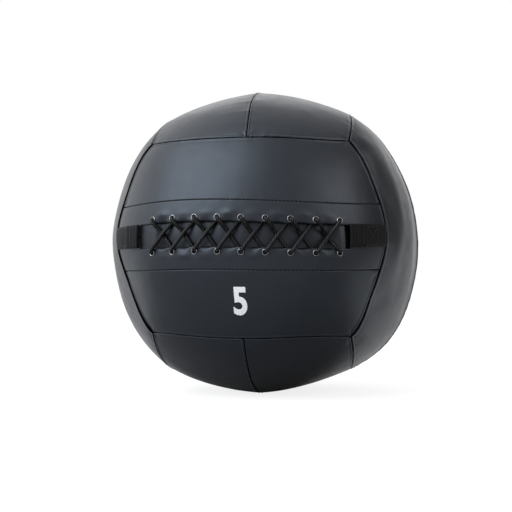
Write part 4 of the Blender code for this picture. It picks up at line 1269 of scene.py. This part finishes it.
class Nodes:
    """Short way to build the node tree of a material or of the world."""

    def __init__(self, owner, shader="Principled BSDF"):
        owner.use_nodes = True
        self.owner = owner
        self.tree = owner.node_tree
        self.shader = self.tree.nodes[shader]
        self.coordinates = self.add("ShaderNodeTexCoord").outputs
        self.place = self.coordinates["Object"]

    def fill(self, node, values):
        """Sets a node's inputs, each to a value or to what another node gives."""
        for key, value in values.items():
            if isinstance(value, bpy.types.NodeSocket):
                self.tree.links.new(value, node.inputs[key])
            else:
                node.inputs[key].default_value = value

    def add(self, kind, values=None, **settings):
        node = self.tree.nodes.new(kind)
        for key, value in settings.items():
            setattr(node, key, value)
        self.fill(node, values or {})
        return node

    def noise(self, scale, detail=3.0, roughness=0.55):
        values = {"Vector": self.place, "Scale": scale, "Detail": detail, "Roughness": roughness}
        return self.add("ShaderNodeTexNoise", values).outputs["Fac"]

    def cells(self, scale, feature="DISTANCE_TO_EDGE"):
        values = {"Vector": self.place, "Scale": scale}
        return self.add("ShaderNodeTexVoronoi", values, feature=feature).outputs["Distance"]

    def ramp(self, value, low, high, first, last):
        values = {"Value": value, "From Min": low, "From Max": high, "To Min": first, "To Max": last}
        return self.add("ShaderNodeMapRange", values).outputs["Result"]

    def math(self, operation, first, second=0.0):
        return self.add("ShaderNodeMath", {0: first, 1: second}, operation=operation).outputs[0]

    def blend(self, first, second, share):
        """Sum of two values, the first times a share and the second times what is left."""
        return self.math("ADD", self.math("MULTIPLY", first, share), self.math("MULTIPLY", second, 1 - share))

    def threads(self, place, pitch):
        """Even round threads across a coordinate."""
        return self.math("ABSOLUTE", self.math("SINE", self.math("MULTIPLY", place, math.pi / pitch)))

    def mix(self, share, first, second):
        return self.add("ShaderNodeMix", {0: share, 6: first, 7: second}, data_type="RGBA").outputs[2]

    def attribute(self, name):
        return self.add("ShaderNodeAttribute", attribute_name=name).outputs

    def axes(self, place):
        return self.add("ShaderNodeSeparateXYZ", {"Vector": place}).outputs

    def bump(self, height, distance, strength=1.0, normal=None):
        values = {"Height": height, "Distance": distance, "Strength": strength}
        if normal is not None:
            values["Normal"] = normal
        return self.add("ShaderNodeBump", values).outputs["Normal"]

    def finish(self, values):
        self.fill(self.shader, values)
        return self.owner


def colour(red, green, blue, factor=1.0):
    return (red * factor, green * factor, blue * factor, 1.0)


def material_nodes(name):
    return Nodes(bpy.data.materials.new(name))


def leather_material(name, base, roughness, grain):
    """Coated leather cloth: fine grain, an uneven sheen, painted shade in the seams and a painted highlight
    beside them.
    """
    nodes = material_nodes(name)
    from_seam = nodes.attribute("from_seam")["Fac"]
    # Painted shade in the seams: near black, with no reflection or sheen, where this is 0
    out_of_seam_shade = nodes.ramp(from_seam, 0.7, 1.1, 0.0, 1.0)
    tone = nodes.ramp(nodes.noise(22.0, 4.0), 0.3, 0.7, 0.0, 1.0)
    cloud = nodes.mix(tone, colour(*base, 0.88), colour(*base, 1.12))
    patches = nodes.ramp(nodes.noise(140.0, 5.0), 0.4, 0.7, 0.2, 1.0)
    # Painted highlight: lighter in patches just beside the painted seam shade, where the seams' folded edges
    # catch light
    seam_highlight_patches = nodes.math("MULTIPLY", nodes.ramp(from_seam, 1.0, 6.0, 0.30, 0.0), patches)
    with_seam_highlight = nodes.mix(seam_highlight_patches, cloud, colour(*base, 2.6))
    cell = nodes.ramp(nodes.cells(GRAIN_SCALE), 0.0, 0.22, 0.0, 1.0)
    crease = nodes.bump(nodes.noise(75.0, 3.0), 0.22 * MM, 0.3)
    mottle = nodes.bump(nodes.noise(300.0, 2.0), 0.10 * MM, 0.3, crease)
    return nodes.finish({
        "Base Color": nodes.mix(out_of_seam_shade, colour(0.001, 0.001, 0.0015), with_seam_highlight),
        "Roughness": nodes.ramp(nodes.noise(60.0, 4.0), 0.3, 0.7, roughness - 0.03, roughness + 0.04),
        "Normal": nodes.bump(nodes.blend(cell, nodes.noise(2600.0, 2.0), 0.7), 0.045 * MM, grain, mottle),
        "Specular IOR Level": nodes.math("MULTIPLY", out_of_seam_shade, LEATHER_SHEEN),
        "Specular Tint": LEATHER_TINT,
        "Sheen Weight": nodes.math("MULTIPLY", out_of_seam_shade, LEATHER_BLOOM),
        "Sheen Roughness": 0.28,
    })


def webbing_material():
    """Black nylon webbing: ribs across its run, with the weave between them."""
    nodes = material_nodes("webbing_nylon")
    run = nodes.axes(nodes.attribute("cloth_place")["Vector"])
    weave = nodes.blend(nodes.threads(run["X"], RIB_PITCH), nodes.threads(run["Y"], WARP_PITCH), 0.65)
    fuzz = nodes.noise(1800.0, 2.0)
    # Painted shade: darker between the threads, lighter on their tops
    raised_out_of_shade = nodes.ramp(weave, 0.2, 0.9, 0.0, 1.0)
    tone = nodes.mix(raised_out_of_shade, colour(0.0012, 0.0012, 0.0016), colour(0.0050, 0.0050, 0.0065))
    return nodes.finish({
        "Base Color": nodes.mix(nodes.ramp(fuzz, 0.35, 0.75, 0.0, 0.3), tone, colour(0.008, 0.008, 0.010)),
        "Roughness": nodes.ramp(fuzz, 0.3, 0.7, 0.46, 0.60),
        "Normal": nodes.bump(weave, 0.25 * MM, 0.9),
        "Specular IOR Level": 0.16,
    })


def cord_material():
    """Black braided cord: painted shade in the gaps between its strands, where it also reflects less, with
    fine filaments.
    """
    nodes = material_nodes("braided_cord")
    # Painted shade: near black in the gaps between the strands, and the reflection fades there too
    out_of_gap_shade = nodes.ramp(nodes.attribute("strand_height")["Fac"], 0.75, 1.35, 0.0, 1.0)
    fuzz = nodes.noise(2500.0, 2.0)
    tone = nodes.mix(out_of_gap_shade, colour(0.0003, 0.0003, 0.0003), colour(0.0026, 0.0026, 0.0032))
    return nodes.finish({
        "Base Color": nodes.mix(nodes.ramp(fuzz, 0.4, 0.8, 0.0, 0.3), tone, colour(0.006, 0.006, 0.007)),
        "Roughness": nodes.ramp(fuzz, 0.3, 0.7, 0.34, 0.46),
        "Normal": nodes.bump(fuzz, 0.05 * MM, 0.5),
        "Specular IOR Level": nodes.math("MULTIPLY", out_of_gap_shade, 0.70),
    })


def metal_material():
    nodes = material_nodes("plated_steel")
    patina = nodes.ramp(nodes.noise(420.0, 4.0), 0.4, 0.75, 0.0, 0.5)
    return nodes.finish({
        "Base Color": nodes.mix(patina, colour(0.50, 0.50, 0.51), colour(0.30, 0.30, 0.31)),
        "Metallic": 1.0,
        "Roughness": nodes.ramp(nodes.noise(900.0, 3.0), 0.3, 0.7, 0.12, 0.22),
        "Normal": nodes.bump(nodes.noise(1500.0, 2.0), 0.01 * MM, 0.5),
    })


def thread_material(name, base):
    nodes = material_nodes(name)
    twist = nodes.noise(1500.0, 2.0)
    return nodes.finish({
        "Base Color": nodes.mix(twist, colour(*base, 0.6), colour(*base, 1.4)),
        "Roughness": nodes.ramp(twist, 0.3, 0.7, 0.5, 0.7),
        "Normal": nodes.bump(twist, 0.06 * MM, 0.6),
    })


def print_material():
    """White print on the leather: the grain shows through, a little thinner in places."""
    nodes = material_nodes("white_print")
    thin = nodes.ramp(nodes.noise(520.0, 4.0), 0.62, 0.8, 0.0, 0.25)
    return nodes.finish({
        "Base Color": nodes.mix(thin, colour(0.98, 0.98, 0.98), colour(0.80, 0.81, 0.83)),
        "Roughness": nodes.ramp(nodes.noise(300.0, 3.0), 0.3, 0.7, 0.5, 0.62),
        "Normal": nodes.bump(nodes.cells(GRAIN_SCALE), 0.03 * MM, 0.4),
    })


def foam_material():
    nodes = material_nodes("open_foam")
    pores = nodes.cells(520.0, feature="F1")
    # Painted shade: darker in the pores, lighter on the cell walls between them
    out_of_pore_shade = nodes.ramp(pores, 0.0, 0.5, 0.0, 1.0)
    return nodes.finish({
        "Base Color": nodes.mix(out_of_pore_shade, colour(0.30, 0.30, 0.28), colour(0.62, 0.61, 0.57)),
        "Roughness": nodes.ramp(nodes.noise(90.0), 0.3, 0.7, 0.88, 1.0),
        "Normal": nodes.bump(pores, 0.5 * MM, 0.8),
    })


def fibre_material():
    nodes = material_nodes("shredded_fibre")
    strands = nodes.noise(260.0, 6.0, 0.7)
    patches = nodes.ramp(nodes.noise(45.0, 3.0), 0.4, 0.6, 0.0, 1.0)
    shade = nodes.mix(patches, colour(0.50, 0.49, 0.46), colour(0.26, 0.28, 0.33))
    return nodes.finish({
        "Base Color": nodes.mix(nodes.ramp(strands, 0.35, 0.65, 0.0, 0.6), shade, colour(0.70, 0.69, 0.66)),
        "Roughness": nodes.ramp(strands, 0.3, 0.7, 0.9, 1.0),
        "Normal": nodes.bump(strands, 1.2 * MM, 0.8),
    })


def canvas_material():
    nodes = material_nodes("canvas")
    run = nodes.axes(nodes.place)
    weave = nodes.blend(nodes.threads(run["X"], CANVAS_PITCH), nodes.threads(run["Y"], CANVAS_PITCH), 0.5)
    return nodes.finish({
        # Painted shade: darker between the threads, lighter on their tops
        "Base Color": nodes.mix(weave, colour(0.30, 0.26, 0.20), colour(0.50, 0.45, 0.36)),
        "Roughness": nodes.ramp(nodes.noise(120.0), 0.3, 0.7, 0.85, 0.98),
        "Normal": nodes.bump(weave, 0.3 * MM, 0.8),
    })


def make_world():
    """White to the camera. Everything else sees a soft room, brighter above and on the left."""
    world = bpy.data.worlds.new("studio")
    bpy.context.scene.world = world
    nodes = Nodes(world, "Background")
    heading = nodes.axes(nodes.coordinates["Generated"])
    height = nodes.ramp(heading["Z"], -1.0, 1.0, ROOM_LOW, ROOM_HIGH)
    side = nodes.ramp(heading["X"], -1.0, 1.0, ROOM_LEFT, ROOM_RIGHT)
    seen = nodes.add("ShaderNodeLightPath").outputs["Is Camera Ray"]
    strength = nodes.ramp(seen, 0.0, 1.0, nodes.math("MULTIPLY", height, side), 1.0)
    nodes.finish({"Color": colour(1.0, 1.0, 1.0), "Strength": strength})


def make_floor():
    """White floor that takes the ball's shadow. Parts of it glow for reflections only, a painted reflection
    on the ball that changes around the ball.
    """
    half = FLOOR_SIDE / 2
    mesh = bpy.data.meshes.new("floor")
    corners = [(-half, -half, 0), (half, -half, 0), (half, half, 0), (-half, half, 0)]
    mesh.from_pydata(corners, [], [(0, 1, 2, 3)])
    nodes = material_nodes("floor")
    rays = nodes.add("ShaderNodeLightPath").outputs

    def along(heading, start, end, first, last):
        """A value that changes over a stretch of the floor, measured from the ball along a heading."""
        measured = nodes.add("ShaderNodeVectorMath", {0: nodes.place, 1: heading}, operation="DOT_PRODUCT")
        return nodes.ramp(measured.outputs["Value"], start, end, first, last)

    far_right = along((0.5, 0.9, 0.0), 0.0, 0.07, 0.0, FLOOR_REFLECTION_GLOW)
    far_left = along((-0.2, 0.98, 0.0), 0.0, 0.07, 0.0, FLOOR_REFLECTION_GLOW)
    far = nodes.math("MAXIMUM", far_right, far_left)
    near_right = along((0.8, -0.6, 0.0), 0.35, 0.80, 1.0, 0.15)
    ahead = along((0.5, 0.9, 0.0), -0.12, -0.30, 0.0, 0.18)
    around = nodes.math("ADD", nodes.math("MULTIPLY", far, near_right), ahead)
    # Painted reflection: glow that only the ball's reflections see
    painted_reflection = nodes.math("MULTIPLY", around, rays["Is Glossy Ray"])
    seen = nodes.math("MULTIPLY", rays["Is Camera Ray"], FLOOR_GLOW)
    matte = nodes.add("ShaderNodeBsdfDiffuse", {"Color": colour(1.0, 1.0, 1.0, FLOOR_ALBEDO)})
    glow = nodes.add("ShaderNodeEmission", {"Strength": nodes.math("ADD", seen, painted_reflection)})
    total = nodes.add("ShaderNodeAddShader", {0: matte.outputs[0], 1: glow.outputs[0]})
    nodes.fill(nodes.tree.nodes["Material Output"], {"Surface": total.outputs[0]})
    nodes.tree.nodes.remove(nodes.shader)
    mesh.materials.append(nodes.owner)
    link_object("floor", mesh)


def make_lamps():
    for name, (heading, distance, width, height, radiance, tint) in LAMPS.items():
        lamp = bpy.data.lights.new(name, "AREA")
        lamp.shape = "RECTANGLE"
        lamp.size = width
        lamp.size_y = height
        lamp.energy = radiance * math.pi * width * height
        lamp.color = tint
        aim(link_object(name, lamp), Vector(heading).normalized(), distance)


def main():
    bpy.context.scene.view_settings.view_transform = "Standard"
    make_camera()
    make_world()
    make_floor()
    make_lamps()

    cover = leather_material("cover_leather", (0.010, 0.011, 0.014), 0.38, 0.5)
    strip = leather_material("closure_leather", (0.010, 0.011, 0.014), 0.39, 0.5)
    # Its base is darker than the cover's: painted shade on the tongue, which lies under the laces
    tongue_leather = leather_material("tongue_leather", (0.006, 0.006, 0.007), 0.42, 0.6)
    webbing = webbing_material()

    foams = make_filling(foam_material(), fibre_material())
    make_core(canvas_material(), thread_material("canvas_thread", (0.55, 0.50, 0.42)))
    for name in PANELS:
        make_panel(name, cover)
    for side, row in SIDES:
        make_placket(side, row, strip)
    make_tongue(tongue_leather)
    make_eyelets(metal_material())
    make_lace(cord_material())
    for name in TABS:
        make_tab(name, webbing)
    make_stitches(thread_material("black_thread", (0.016, 0.016, 0.018)))
    make_weight_mark(print_material())


main()
